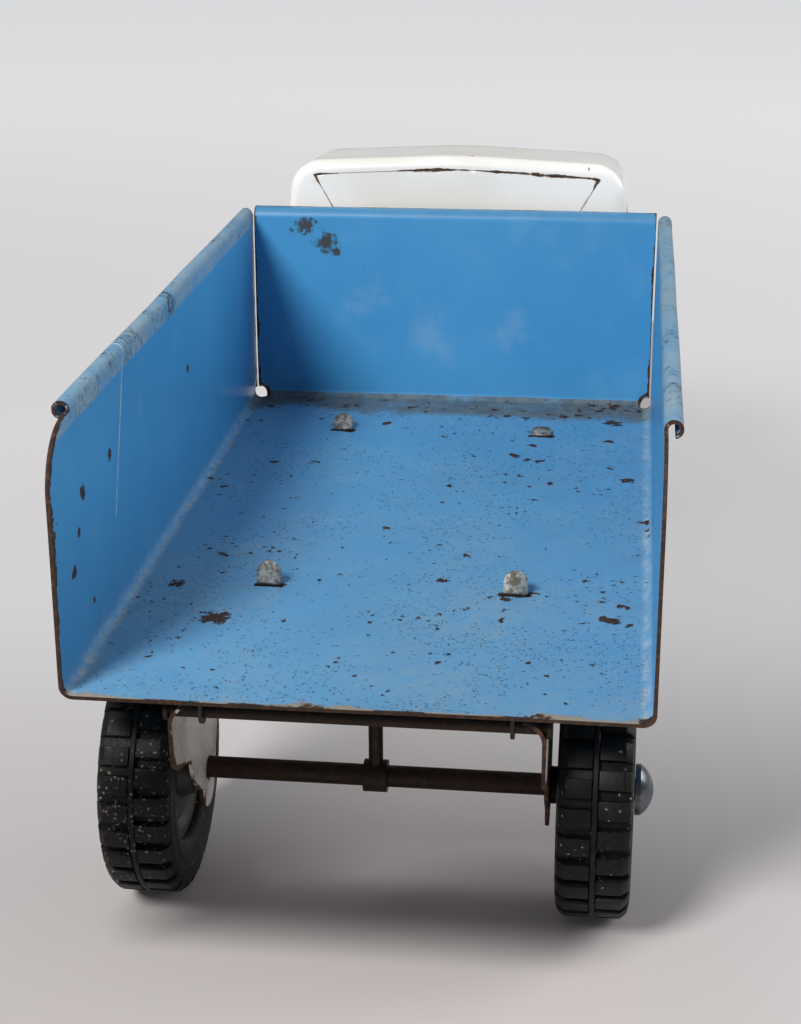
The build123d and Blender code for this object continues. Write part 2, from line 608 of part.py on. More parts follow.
def cab_floor():
    """Floor plate on the chassis, with flanges up the inside of the doors."""
    half = CAB_WIDTH / 2 - SHEET
    x0, x1 = CAB_BACK + SHEET + LOOSE, CAB_FRONT - SHEET - LOOSE
    plate = box_between(x0, x1, -half, half, CHASSIS_TOP, CHASSIS_TOP + SHEET)
    plate = fillet(plate.edges().filter_by(Axis.Z).group_by(Axis.X)[0], CAB_EDGE)
    for side in (-1, 1):
        y0, y1 = sorted((side * (half - SHEET), side * half))
        plate += box_between(x0 + 8, x1 - 8, y0, y1, CHASSIS_TOP, CHASSIS_TOP + FLOOR_RISE)
    return plate - rivet_holes(CAB_RIVETS)


def seat_bench():
    """Folded bench that leans on the back panel and stands on the cab floor."""
    x0 = CAB_BACK + SHEET
    x1 = x0 + SEAT_DEPTH
    z = CHASSIS_TOP + SHEET
    seat = z + SEAT_HEIGHT
    side = outline(
        (x0, z + SHEET),
        (x0 + SHEET, z + SHEET),
        (x0 + SHEET, seat - SHEET),
        (x1 - SHEET, seat - SHEET),
        (x1 - SHEET, z),
        (x1, z),
        (x1, seat),
        (x0 + SHEET, seat),
        (x0 + SHEET, z + SEAT_BACK),
        (x0, z + SEAT_BACK),
    )
    return across_y(side, -SEAT_WIDTH / 2, SEAT_WIDTH / 2)


# ---------------------------------------------------------------- front end
BONNET_FRONT = FRONT_AXLE_X + 34.0
BONNET_ROUND = 16.0
BONNET_TAPER = 8.0  # each side, at the front
BONNET_FALL = 7.0  # drop of its top towards the front
MOUTH_EDGE = 7.0  # bonnet left round the radiator opening
GRILLE_BARS = 7
GRILLE_BAR = 1.8
GRILLE_PROUD = 1.6
WING_INNER = CHASSIS_SIDE
WING_OUTER = WHEEL_OUTER + 5.5
WING_LIP = 7.0
BOARD_HEIGHT = AXLE_HEIGHT + 11.0
LAMP_FORWARD = 20.0  # front axle to the headlamp's foot
LAMP_STALK = 2.2
LAMP_DEPTH = 7.0


def bonnet_section(x, share, inset):
    """Cross-section of the bonnet at x; share runs from 0 at the cab to 1 at the radiator."""
    half = BONNET_WIDTH / 2 - BONNET_TAPER * share - inset
    top = BONNET_HEIGHT - BONNET_FALL * share - inset
    foot = CHASSIS_TOP - 4 * inset
    face = outline((-half, foot), (half, foot), (half, top), (-half, top))
    return Plane.YZ.offset(x) * rounded(face, [(half, top), (-half, top)], BONNET_ROUND - inset)


def bonnet_half_width(x):
    return BONNET_WIDTH / 2 - BONNET_TAPER * (x - CAB_FRONT) / (BONNET_FRONT - CAB_FRONT)


def bonnet():
    """Bonnet pressing, open at the cab and below, with a radiator opening, louvres and foot flanges."""
    shell = loft([bonnet_section(CAB_FRONT, 0, 0), bonnet_section(BONNET_FRONT, 1, 0)])
    shell -= loft([bonnet_section(CAB_FRONT, 0, SHEET), bonnet_section(BONNET_FRONT - SHEET, 1, SHEET)])
    for side in (-1, 1):
        x0, x1 = FRONT_AXLE_X - 20, FRONT_AXLE_X + 20
        flange = outline(
            (x0, side * (bonnet_half_width(x0) - SHEET / 2)),
            (x1, side * (bonnet_half_width(x1) - SHEET / 2)),
            (x1, side * (bonnet_half_width(x1) - BONNET_FLANGE)),
            (x0, side * (bonnet_half_width(x0) - BONNET_FLANGE)),
        )
        shell += Pos(0, 0, CHASSIS_TOP) * extrude(flange, amount=SHEET, dir=(0, 0, 1))
    half = BONNET_WIDTH / 2 - BONNET_TAPER - MOUTH_EDGE
    low, high = CHASSIS_TOP + MOUTH_EDGE, BONNET_HEIGHT - BONNET_FALL - MOUTH_EDGE
    mouth = outline((-half, low), (half, low), (half - 3, high), (-half + 3, high))
    shell -= along_x(window(mouth, WINDOW_ROUND), BONNET_FRONT - 5, BONNET_FRONT + 1)
    for step in range(5):
        x = CAB_FRONT + 16 + step * 7
        shell -= Pos(x, 0, CHASSIS_TOP + 20) * Rot(Y=12) * Box(2.2, BONNET_WIDTH + 9, 13)
    return shell - rivet_holes(BONNET_RIVETS)


def radiator_grille():
    """Grille plate behind the radiator opening, with bars that stand through it."""
    face_x = BONNET_FRONT - SHEET
    mouth_half = BONNET_WIDTH / 2 - BONNET_TAPER - MOUTH_EDGE
    half = mouth_half + 2
    low, high = CHASSIS_TOP + MOUTH_EDGE, BONNET_HEIGHT - BONNET_FALL - MOUTH_EDGE
    sheet = outline((-half, low - 3), (half, low - 3), (half, high + 2), (-half, high + 2))
    sheet = rounded(sheet, [(-half, high + 2), (half, high + 2)], BONNET_ROUND - MOUTH_EDGE / 2)
    plate = along_x(sheet, face_x - SHEET, face_x)
    pitch = (high - low) / GRILLE_BARS
    for step in range(GRILLE_BARS):
        z = low + (step + 0.5) * pitch
        reach = mouth_half - 6
        low_edge, high_edge = z - GRILLE_BAR / 2, z + GRILLE_BAR / 2
        plate += box_between(face_x - SHEET, face_x + GRILLE_PROUD, -reach, reach, low_edge, high_edge)
    return plate


def front_wing():
    """Left front wing: an arched band over the wheel, an outer lip, and an inner apron on the chassis."""
    below = BOARD_HEIGHT - SHEET
    reach = 2 * WING_RADIUS
    upper = outline(
        (FRONT_AXLE_X - reach, below),
        (FRONT_AXLE_X + reach, below),
        (FRONT_AXLE_X + reach, below + reach),
        (FRONT_AXLE_X - reach, below + reach),
    )
    centre = Pos(FRONT_AXLE_X, AXLE_HEIGHT)
    disc = centre * Circle(WING_RADIUS) & upper
    band = across_y(disc - centre * Circle(WING_RADIUS - SHEET), WING_INNER, WING_OUTER)
    lip = across_y(disc - centre * Circle(WING_RADIUS - WING_LIP), WING_OUTER - SHEET, WING_OUTER)
    well = centre * Circle(CHASSIS_BOTTOM + 1 - AXLE_HEIGHT)
    apron = across_y(disc - well, WING_INNER, WING_INNER + SHEET)
    return band + lip + apron


def running_board():
    """Left running board from the wing back under the cab, hung from the chassis's side."""
    reach = sqrt(WING_RADIUS**2 - (BOARD_HEIGHT - AXLE_HEIGHT) ** 2)
    x0, x1 = CAB_BACK, FRONT_AXLE_X - reach - LOOSE
    low = BOARD_HEIGHT - SHEET
    board = box_between(x0, x1, WING_INNER, WING_OUTER, low, BOARD_HEIGHT)
    board += box_between(x0, x1, WING_OUTER - SHEET, WING_OUTER, low - 4, BOARD_HEIGHT)
    board += box_between(x0, x1, WING_INNER, WING_INNER + SHEET, low, CHASSIS_TOP - CHASSIS_CORNER)
    return board


LAMP_X = FRONT_AXLE_X + LAMP_FORWARD
LAMP_Y = (WING_INNER + WING_OUTER) / 2
LAMP_RADIUS = HEADLAMP_DIAMETER / 2
WING_TOP_AT_LAMP = AXLE_HEIGHT + sqrt(WING_RADIUS**2 - LAMP_FORWARD**2)
LAMP_Z = WING_TOP_AT_LAMP + LAMP_RADIUS + LAMP_STALK


def turned_along_x(*points):
    """Left headlamp piece: (distance forward of the lamp's middle, radius) turned about its axis."""
    face = make_face(Polyline(*[(x, 0, r) for x, r in points], close=True))
    return Pos(LAMP_X, LAMP_Y, LAMP_Z) * revolve(face, Axis.X)


def headlamp_shell():
    """Left headlamp: a bowl on a short stalk that stands on the wing."""
    front = LAMP_DEPTH / 2
    bowl = turned_along_x(
        (-LAMP_DEPTH, 0),
        (-LAMP_DEPTH, 2.5),
        (-LAMP_DEPTH * 0.8, LAMP_RADIUS * 0.6),
        (-LAMP_DEPTH * 0.35, LAMP_RADIUS * 0.9),
        (front - 2, LAMP_RADIUS),
        (front, LAMP_RADIUS),
        (front, LAMP_RADIUS - SHEET),
        (0, LAMP_RADIUS - 2 * SHEET),
        (-LAMP_DEPTH * 0.5, 3.0),
        (-LAMP_DEPTH * 0.6, 0),
    )
    stalk = Pos(LAMP_X, LAMP_Y, LAMP_Z - LAMP_RADIUS) * Cylinder(2.2, 4 * LAMP_STALK)
    wing_disc = across_y(Pos(FRONT_AXLE_X, AXLE_HEIGHT) * Circle(WING_RADIUS), LAMP_Y - 9, LAMP_Y + 9)
    hollow = turned_along_x((-LAMP_DEPTH * 0.5, 0), (-LAMP_DEPTH * 0.5, 3.0), (0, LAMP_RADIUS - 2 * SHEET),
                            (front, LAMP_RADIUS - SHEET), (front, 0))
    return bowl + (stalk - wing_disc - hollow)


def headlamp_lens():
    """Left headlamp lens: a shallow dome set into the mouth of its bowl."""
    front = LAMP_DEPTH / 2
    seat = LAMP_RADIUS - SHEET
    taper = SHEET / front
    return turned_along_x(
        (front - 1.5, 0),
        (front - 1.5, seat - 1.5 * taper),
        (front, seat),
        (front + 1.2, seat * 0.75),
        (front + 1.9, seat * 0.4),
        (front + 2.1, 0),
    )


BUMPER_LIFT = 13.0  # axle height to the bumper's lower edge
BUMPER_SWEEP = 7.0
BUMPER_ROUND = 5.5


def bumper_plan(inset):
    half = BUMPER_WIDTH / 2 - inset
    face = NOSE - inset
    plan = outline((NOSE - BUMPER_SWEEP, -half), (face, -half), (face, half), (NOSE - BUMPER_SWEEP, half))
    return rounded(plan, [(face, -half), (face, half)], BUMPER_ROUND - inset)


def front_bumper():
    """Front bumper: a strip with its ends swept back."""
    strip = extrude(bumper_plan(0) - bumper_plan(SHEET), amount=BUMPER_HEIGHT, dir=(0, 0, 1))
    return Pos(0, 0, AXLE_HEIGHT + BUMPER_LIFT) * strip


def bumper_irons():
    """Two bent irons that carry the bumper from the underside of the chassis's web."""
    z = CHASSIS_TOP - SHEET
    x0, x1 = CHASSIS_END - BUMPER_FOOT, NOSE - SHEET
    foot = AXLE_HEIGHT + BUMPER_LIFT + 2
    side = outline(
        (x0, z - SHEET), (x1 - SHEET, z - SHEET), (x1 - SHEET, foot), (x1, foot), (x1, z), (x0, z)
    )
    irons = []
    for x, y in BUMPER_RIVETS:
        irons += solids_of(across_y(side, y - BUMPER_IRON / 2, y + BUMPER_IRON / 2) - rivet_holes([(x, y)]))
    return Compound(irons)


# ---------------------------------------------------------------- every piece in its place
def save_pair(piece, name):
    """A left-hand piece and its right-hand twin, each its own node."""
    save(piece, f"{name}_left")
    save(mirror(piece, about=Plane.XZ), f"{name}_right")


os.makedirs("parts", exist_ok=True)
save(tray(), "tipper_tray")
save(tray_bearer(), "tray_bearer")
save(chassis_frame(), "chassis_frame")
save(hinge_rod(), "hinge_rod")
save(axle_hanger(), "axle_hanger")

rubber_tyre, moulded_hub = tyre(), hub()
for end, axle_x in (("rear", REAR_AXLE_X), ("front", FRONT_AXLE_X)):
    save(axle(axle_x), f"{end}_axle")
    save(Pos(axle_x, 0, 0) * both_sides(axle_cap()), f"{end}_axle_caps")
    save(Pos(axle_x, 0, 0) * both_sides(axle_washer()), f"{end}_axle_washers")
    for side_name, side in (("left", 1), ("right", -1)):
        place = Pos(axle_x, side * TRACK / 2, AXLE_HEIGHT)
        save(place * rubber_tyre, f"{end}_{side_name}_tyre")
        save(place * moulded_hub, f"{end}_{side_name}_hub")

save(cab_shell(), "cab_shell")
save(cab_back_panel(), "cab_back_panel")
save(cab_floor(), "cab_floor")
save(seat_bench(), "seat_bench")
save(rivets(CAB_RIVETS[:2], CHASSIS_TOP + 2 * SHEET, 3 * SHEET), "cab_rear_rivets")
save(rivets(CAB_RIVETS[2:], CHASSIS_TOP + SHEET, 2 * SHEET), "cab_front_rivets")
save(bonnet(), "bonnet")
save(rivets(BONNET_RIVETS, CHASSIS_TOP + SHEET, 2 * SHEET), "bonnet_rivets")
save(radiator_grille(), "radiator_grille")
save_pair(front_wing(), "front_wing")
save_pair(running_board(), "running_board")
save_pair(headlamp_shell(), "headlamp_shell")
save_pair(headlamp_lens(), "headlamp_lens")
save(front_bumper(), "front_bumper")
save(bumper_irons(), "bumper_irons")
save(rivets(BUMPER_RIVETS, CHASSIS_TOP, 2 * SHEET), "bumper_rivets")
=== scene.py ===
import math

import bmesh
import bpy
from mathutils import Matrix, Vector, kdtree, noise


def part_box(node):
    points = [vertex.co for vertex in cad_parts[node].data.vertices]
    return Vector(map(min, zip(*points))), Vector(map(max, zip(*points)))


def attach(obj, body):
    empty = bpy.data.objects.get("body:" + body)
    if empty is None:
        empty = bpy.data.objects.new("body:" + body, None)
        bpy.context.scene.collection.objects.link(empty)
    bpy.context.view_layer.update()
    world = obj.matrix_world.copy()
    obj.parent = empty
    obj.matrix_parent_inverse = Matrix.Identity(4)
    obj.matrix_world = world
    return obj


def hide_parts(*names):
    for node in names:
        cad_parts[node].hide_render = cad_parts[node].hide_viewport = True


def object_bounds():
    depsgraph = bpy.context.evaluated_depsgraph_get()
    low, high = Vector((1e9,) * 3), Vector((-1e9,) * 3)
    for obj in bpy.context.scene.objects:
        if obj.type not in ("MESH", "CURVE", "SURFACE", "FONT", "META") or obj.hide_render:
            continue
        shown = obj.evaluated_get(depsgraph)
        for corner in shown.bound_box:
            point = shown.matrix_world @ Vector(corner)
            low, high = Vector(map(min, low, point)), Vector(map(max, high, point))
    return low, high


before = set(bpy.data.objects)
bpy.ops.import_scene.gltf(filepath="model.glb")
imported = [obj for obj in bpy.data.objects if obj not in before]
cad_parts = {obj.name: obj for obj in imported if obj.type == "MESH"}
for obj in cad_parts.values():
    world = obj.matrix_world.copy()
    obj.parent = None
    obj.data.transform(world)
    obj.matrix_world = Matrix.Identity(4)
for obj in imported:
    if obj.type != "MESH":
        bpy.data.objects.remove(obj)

cad_low, cad_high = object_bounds()
MM = 0.001


# ------------------------------------------------------------------ chassis
# An inverted channel of 1 mm steel sheet, folded on a press, with ears for both axles and two rear flaps.
# It was sprayed cream over bare steel, and has rusted wherever the paint left the cut edges.


def new_node(tree, kind, sockets=None, **settings):
    """One node with its settings; sockets are set by name or index, to a value or a link."""
    made = tree.nodes.new(kind)
    for name, value in settings.items():
        setattr(made, name, value)
    for name, value in (sockets or {}).items():
        if isinstance(value, bpy.types.NodeSocket):
            tree.links.new(value, made.inputs[name])
        else:
            made.inputs[name].default_value = value
    return made


def add_node(tree, kind, sockets=None, **settings):
    return new_node(tree, "ShaderNode" + kind, sockets, **settings)


def maths(tree, operation, first, second=0.0, clamp=False):
    made = add_node(tree, "Math", {0: first, 1: second}, operation=operation, use_clamp=clamp)
    return made.outputs[0]


def plus(tree, first, second, clamp=False):
    return maths(tree, "ADD", first, second, clamp)


def less(tree, first, second, clamp=False):
    return maths(tree, "SUBTRACT", first, second, clamp)


def times(tree, first, second):
    return maths(tree, "MULTIPLY", first, second)


def parted(tree, first, second):
    return maths(tree, "DIVIDE", first, second)


def most(tree, *masks):
    """The strongest of several masks."""
    strongest = masks[0]
    for mask in masks[1:]:
        strongest = maths(tree, "MAXIMUM", strongest, mask)
    return strongest


def ramp(tree, value, low, high, out_low=0.0, out_high=1.0):
    """Smooth step of value from low to high."""
    made = add_node(
        tree, "MapRange",
        {"Value": value, "From Min": low, "From Max": high, "To Min": out_low, "To Max": out_high},
        interpolation_type="SMOOTHSTEP",
    )
    return made.outputs["Result"]


def blend_colours(tree, share, under, over, mode="MIX"):
    made = add_node(tree, "Mix", data_type="RGBA", blend_type=mode, clamp_factor=True)
    for socket, value in (("Factor_Float", share), ("A_Color", under), ("B_Color", over)):
        target = next(s for s in made.inputs if s.identifier == socket)
        if isinstance(value, bpy.types.NodeSocket):
            tree.links.new(value, target)
        else:
            target.default_value = value
    return next(s for s in made.outputs if s.identifier == "Result_Color")


def clouds(tree, place, scale, detail, roughness=0.5):
    """Uneven cloudy values that lie about 0.5."""
    made = add_node(
        tree, "TexNoise", {"Vector": place, "Scale": scale, "Detail": detail, "Roughness": roughness}
    )
    return made.outputs["Fac"]


def new_group(name, inputs, outputs):
    """A shader node group with named inputs (name: start value) and outputs (name: socket kind)."""
    tree = bpy.data.node_groups.new(name, "ShaderNodeTree")
    for title, start in inputs.items():
        kind = "NodeSocketVector" if isinstance(start, tuple) else "NodeSocketFloat"
        socket = tree.interface.new_socket(name=title, in_out="INPUT", socket_type=kind)
        socket.default_value = start
    for title, kind in outputs.items():
        tree.interface.new_socket(name=title, in_out="OUTPUT", socket_type=kind)
    return tree, tree.nodes.new("NodeGroupInput").outputs, tree.nodes.new("NodeGroupOutput").inputs


def use_group(tree, group, sockets):
    return add_node(tree, "Group", sockets, node_tree=group).outputs


def build_edge_chips():
    """Paint lost from a sheet's edges: ragged, with stray flakes further in."""
    tree, given, result = new_group(
        "edge_chips",
        {"Place": (0.0, 0.0, 0.0), "Edge": 20.0, "Reach": 2.0, "Grain": 400.0, "Stray": 0.3},
        {"Bare": "NodeSocketFloat", "Rim": "NodeSocketFloat"},
    )
    ragged = clouds(tree, given["Place"], given["Grain"], 5.0, 0.62)
    broad = clouds(tree, given["Place"], 55.0, 2.0)
    reach = times(tree, given["Reach"], ramp(tree, broad, 0.36, 0.66, 0.15, 1.9))
    near = parted(tree, given["Edge"], plus(tree, reach, 0.02))
    wobble = times(tree, less(tree, ragged, 0.5), 3.2)
    level = less(tree, 1.0, plus(tree, near, wobble))
    edge_bare = ramp(tree, level, 0.0, 0.12)
    flakes = times(tree, ramp(tree, near, 7.0, 1.0), given["Stray"])
    stray = ramp(tree, plus(tree, ragged, times(tree, flakes, 0.2)), 0.74, 0.76)
    bare = most(tree, edge_bare, stray)
    halo = less(tree, ramp(tree, level, -0.55, -0.1), edge_bare, clamp=True)
    tree.links.new(bare, result["Bare"])
    tree.links.new(halo, result["Rim"])
    return tree


def build_specks():
    """Small ragged pits, scattered unevenly: Share is how much of the surface has any."""
    tree, given, result = new_group(
        "specks",
        {"Place": (0.0, 0.0, 0.0), "Count": 300.0, "Size": 0.25, "Share": 0.5, "Patch": 30.0},
        {"Mask": "NodeSocketFloat"},
    )
    finer = times(tree, given["Count"], 1.7)
    warp = add_node(
        tree, "TexNoise", {"Vector": given["Place"], "Scale": finer, "Detail": 4.0, "Roughness": 0.7}
    )
    shift = add_node(tree, "VectorMath", {0: warp.outputs["Color"]}, operation="SCALE")
    tree.links.new(parted(tree, 1.5, given["Count"]), shift.inputs["Scale"])
    moved = add_node(tree, "VectorMath", {0: given["Place"], 1: shift.outputs[0]}, operation="ADD")
    cells = add_node(tree, "TexVoronoi", {"Vector": moved.outputs[0], "Scale": given["Count"]})
    pick = add_node(tree, "SeparateColor", {"Color": cells.outputs["Color"]})
    patches = clouds(tree, given["Place"], given["Patch"], 3.0)
    chance = times(tree, ramp(tree, patches, 0.35, 0.7), given["Share"])
    chosen = maths(tree, "LESS_THAN", pick.outputs["Red"], chance)
    size = times(tree, given["Size"], plus(tree, pick.outputs["Green"], 0.35))
    dot = ramp(tree, less(tree, size, cells.outputs["Distance"]), 0.0, 0.06)
    tree.links.new(times(tree, dot, chosen), result["Mask"])
    return tree


def build_grime():
    """A brownish film in clouds and runs, heavier where Weight says."""
    tree, given, result = new_group(
        "grime",
        {"Place": (0.0, 0.0, 0.0), "Weight": 0.3, "Scale": 25.0},
        {"Mask": "NodeSocketFloat"},
    )
    cloud = clouds(tree, given["Place"], given["Scale"], 6.0, 0.6)
    fine = clouds(tree, given["Place"], 900.0, 3.0, 0.7)
    both = plus(tree, cloud, times(tree, less(tree, fine, 0.5), 0.5))
    level = plus(tree, both, less(tree, given["Weight"], 1.0))
    tree.links.new(ramp(tree, level, -0.25, 0.45), result["Mask"])
    return tree


edge_chips, specks, grime = build_edge_chips(), build_specks(), build_grime()


def speckle(tree, place, count, size, share, patch):
    """The specks group's mask: count cells a metre, in patches patch to the metre."""
    sockets = {"Place": place, "Count": count, "Size": size, "Share": share, "Patch": patch}
    return use_group(tree, specks, sockets)["Mask"]


def new_material(name):
    """A material with its node tree and its principled shader."""
    material = bpy.data.materials.new(name)
    material.use_nodes = True
    tree = material.node_tree
    return material, tree, tree.nodes["Principled BSDF"]


def place_of(tree):
    return add_node(tree, "TexCoord").outputs["Object"]


def edge_distance(tree):
    """Distance in millimetres from the nearest sheet edge, as stored on the mesh."""
    return add_node(tree, "Attribute", attribute_name="edge").outputs["Fac"]


def bump(tree, height, distance, strength=1.0, normal=None):
    made = add_node(tree, "Bump", {"Height": height, "Distance": distance, "Strength": strength})
    if normal is not None:
        tree.links.new(normal, made.inputs["Normal"])
    return made.outputs["Normal"]


RUST_DARK = (0.030, 0.016, 0.010, 1)
RUST_MID = (0.120, 0.045, 0.018, 1)
RUST_ORANGE = (0.330, 0.115, 0.030, 1)


def rust_colour(tree, place):
    """Old rust: near black brown, broken by browner and orange grains."""
    grain = clouds(tree, place, 700.0, 5.0, 0.65)
    mid = blend_colours(tree, ramp(tree, grain, 0.45, 0.62), RUST_DARK, RUST_MID)
    return blend_colours(tree, ramp(tree, grain, 0.62, 0.75), mid, RUST_ORANGE)


def make_cream_paint(name, reach, dirt):
    """Cream gloss paint, yellowed in places, chipped to rust along its edges, with pits and dirt."""
    material, tree, shader = new_material(name)
    place = place_of(tree)
    tone = clouds(tree, place, 18.0, 4.0)
    paint = blend_colours(tree, ramp(tree, tone, 0.3, 0.7), (0.90, 0.895, 0.875, 1), (0.80, 0.775, 0.715, 1))
    film = use_group(tree, grime, {"Place": place, "Weight": dirt, "Scale": 45.0})["Mask"]
    paint = blend_colours(tree, times(tree, film, 0.75), paint, (0.20, 0.145, 0.095, 1))
    chips = use_group(
        tree, edge_chips,
        {"Place": place, "Edge": edge_distance(tree), "Reach": reach, "Grain": 380.0, "Stray": 0.25},
    )
    pits = speckle(tree, place, 330.0, 0.22, 0.16, 34.0)
    bare = most(tree, chips["Bare"], pits)
    stained = blend_colours(tree, times(tree, chips["Rim"], 0.55), paint, (0.34, 0.19, 0.09, 1))
    colour = blend_colours(tree, bare, stained, rust_colour(tree, place))
    tree.links.new(colour, shader.inputs["Base Color"])
    tree.links.new(plus(tree, times(tree, most(tree, bare, film), 0.45), 0.30), shader.inputs["Roughness"])
    tree.links.new(bump(tree, less(tree, 1.0, bare), 0.12 * MM, 0.8), shader.inputs["Normal"])
    shader.inputs["Specular IOR Level"].default_value = 0.45
    return material


def sheet_copy(node, cell):
    """A copy of a pressed piece, cut into cells, that stores each point's distance from the sheet's edges."""
    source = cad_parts[node]
    mesh = source.data.copy()
    shape = bmesh.new()
    shape.from_mesh(mesh)
    bmesh.ops.remove_doubles(shape, verts=shape.verts, dist=0.002 * MM)
    marks = []
    for edge in shape.edges:
        if len(edge.link_faces) != 2 or edge.calc_face_angle(0.0) > math.radians(38):
            start, end = edge.verts[0].co, edge.verts[1].co
            steps = max(1, int((end - start).length / (0.5 * MM)))
            marks += [start.lerp(end, step / steps) for step in range(steps + 1)]
    low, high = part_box(node)
    for axis in range(3):
        normal = Vector((axis == 0, axis == 1, axis == 2))
        count = int((high[axis] - low[axis]) / cell)
        for step in range(count):
            point = Vector(low)
            point[axis] += (step + 0.473) * (high[axis] - low[axis]) / count
            everything = shape.verts[:] + shape.edges[:] + shape.faces[:]
            bmesh.ops.bisect_plane(shape, geom=everything, dist=0.001 * MM, plane_co=point, plane_no=normal)
    bmesh.ops.triangulate(shape, faces=[f for f in shape.faces if len(f.verts) > 4])
    shape.to_mesh(mesh)
    shape.free()
    finder = kdtree.KDTree(len(marks))
    for index, mark in enumerate(marks):
        finder.insert(mark, index)
    finder.balance()
    store = mesh.attributes.new("edge", "FLOAT", "POINT")
    for vertex, value in zip(mesh.vertices, store.data):
        value.value = min(finder.find(vertex.co)[2] / MM, 20.0)
    mesh.shade_smooth()
    mesh.set_sharp_from_angle(angle=math.radians(34))
    piece = bpy.data.objects.new(f"{node}_painted", mesh)
    bpy.context.scene.collection.objects.link(piece)
    return piece


def dress(piece, material, body, node):
    """Gives a finished piece its material, hangs it on its body and hides the model's part it replaces."""
    piece.data.materials.clear()
    piece.data.materials.append(material)
    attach(piece, body)
    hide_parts(node)


cream_chassis = make_cream_paint("cream_chassis_paint", 0.9, 0.58)
chassis = sheet_copy("chassis_frame", 5 * MM)
dress(chassis, cream_chassis, "chassis", "chassis_frame")


# ------------------------------------------------------------------ hinge rod, axles, washers and hanger
# Plain mild-steel rod cut to length. The hinge rod is upset at both ends outside the chassis;
# the rear axle hangs at its middle from an eye on a short post. All of it has gone dark brown; the hinge
# rod's near black across the gap under the tray's rear edge also stands in as painted shade for that gap.


def make_dark_steel():
    """Unpainted steel, rusted nearly black, with paler worn grains and a little orange."""
    material, tree, shader = new_material("browned_steel")
    place = place_of(tree)
    broad = clouds(tree, place, 90.0, 5.0, 0.6)
    black, brown = (0.007, 0.005, 0.0035, 1), (0.034, 0.021, 0.013, 1)
    base = blend_colours(tree, ramp(tree, broad, 0.38, 0.64), black, brown)
    colour = blend_colours(tree, 0.18, base, rust_colour(tree, place))
    tree.links.new(colour, shader.inputs["Base Color"])
    tree.links.new(ramp(tree, broad, 0.3, 0.7, 0.42, 0.8), shader.inputs["Roughness"])
    fine = clouds(tree, place, 1300.0, 3.0)
    tree.links.new(bump(tree, fine, 0.1 * MM, 0.6), shader.inputs["Normal"])
    shader.inputs["Metallic"].default_value = 0.55
    return material


def finish_as(material, *names):
    """Gives the model's own pieces their finish."""
    for name in names:
        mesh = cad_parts[name].data
        mesh.materials.clear()
        mesh.materials.append(material)


# painted shade: the near-black hinge rod under the tray's rear edge also stands for the shade in the gap
# there
finish_as(
    make_dark_steel(), "hinge_rod", "rear_axle", "front_axle", "rear_axle_washers", "front_axle_washers",
    "axle_hanger", "bumper_irons", "cab_rear_rivets", "cab_front_rivets", "bonnet_rivets", "bumper_rivets",
)


# ------------------------------------------------------------------ tyres
# Solid black rubber tyres, moulded with a rib round the middle and a row of square blocks each side,
# and pressed over their hubs. Road dust has settled on the blocks of the left rear one.

TYRE_RADIUS, TYRE_HALF = 35.0 * MM, 10.0 * MM
BLOCK_COUNT, BLOCK_DEPTH = 28, 2.1 * MM


def make_rubber(name, dust):
    material, tree, shader = new_material(name)
    place = place_of(tree)
    grain = clouds(tree, place, 650.0, 6.0, 0.75)
    cloud = clouds(tree, place, 70.0, 4.0)
    dusty = times(
        tree, ramp(tree, cloud, 0.40, 0.70), ramp(tree, grain, 0.42, 0.72)
    )
    dusty = times(tree, dusty, dust)
    # painted shade: the rubber's near black is set darker than black rubber is, for the shade the tyres sit
    # in under the truck
    rubber = blend_colours(tree, dusty, (0.0030, 0.0030, 0.0031, 1), (0.050, 0.046, 0.038, 1))
    pale = speckle(tree, place, 900.0, 0.27, 0.95 * dust, 60.0)
    colour = blend_colours(tree, times(tree, pale, 0.7), rubber, (0.30, 0.29, 0.26, 1))
    tree.links.new(colour, shader.inputs["Base Color"])
    tree.links.new(ramp(tree, dusty, 0.0, 0.5, 0.46, 0.85), shader.inputs["Roughness"])
    tree.links.new(bump(tree, grain, 0.16 * MM, 0.6), shader.inputs["Normal"])
    shader.inputs["Specular IOR Level"].default_value = 0.18
    return material


def turned_about_y(name, profile, steps):
    """Mesh turned about Y from a closed outline of (y, radius) in millimetres."""
    shape = bmesh.new()
    rings = []
    for step in range(steps):
        angle = 2 * math.pi * step / steps
        rings.append([
            shape.verts.new((r * MM * math.sin(angle), y * MM, r * MM * math.cos(angle))) for y, r in profile
        ])
    for step in range(steps):
        here, there = rings[step], rings[(step + 1) % steps]
        for i in range(len(profile)):
            j = (i + 1) % len(profile)
            shape.faces.new((here[i], here[j], there[j], there[i]))
    bmesh.ops.recalc_face_normals(shape, faces=shape.faces)
    mesh = bpy.data.meshes.new(name)
    shape.to_mesh(mesh)
    shape.free()
    return mesh


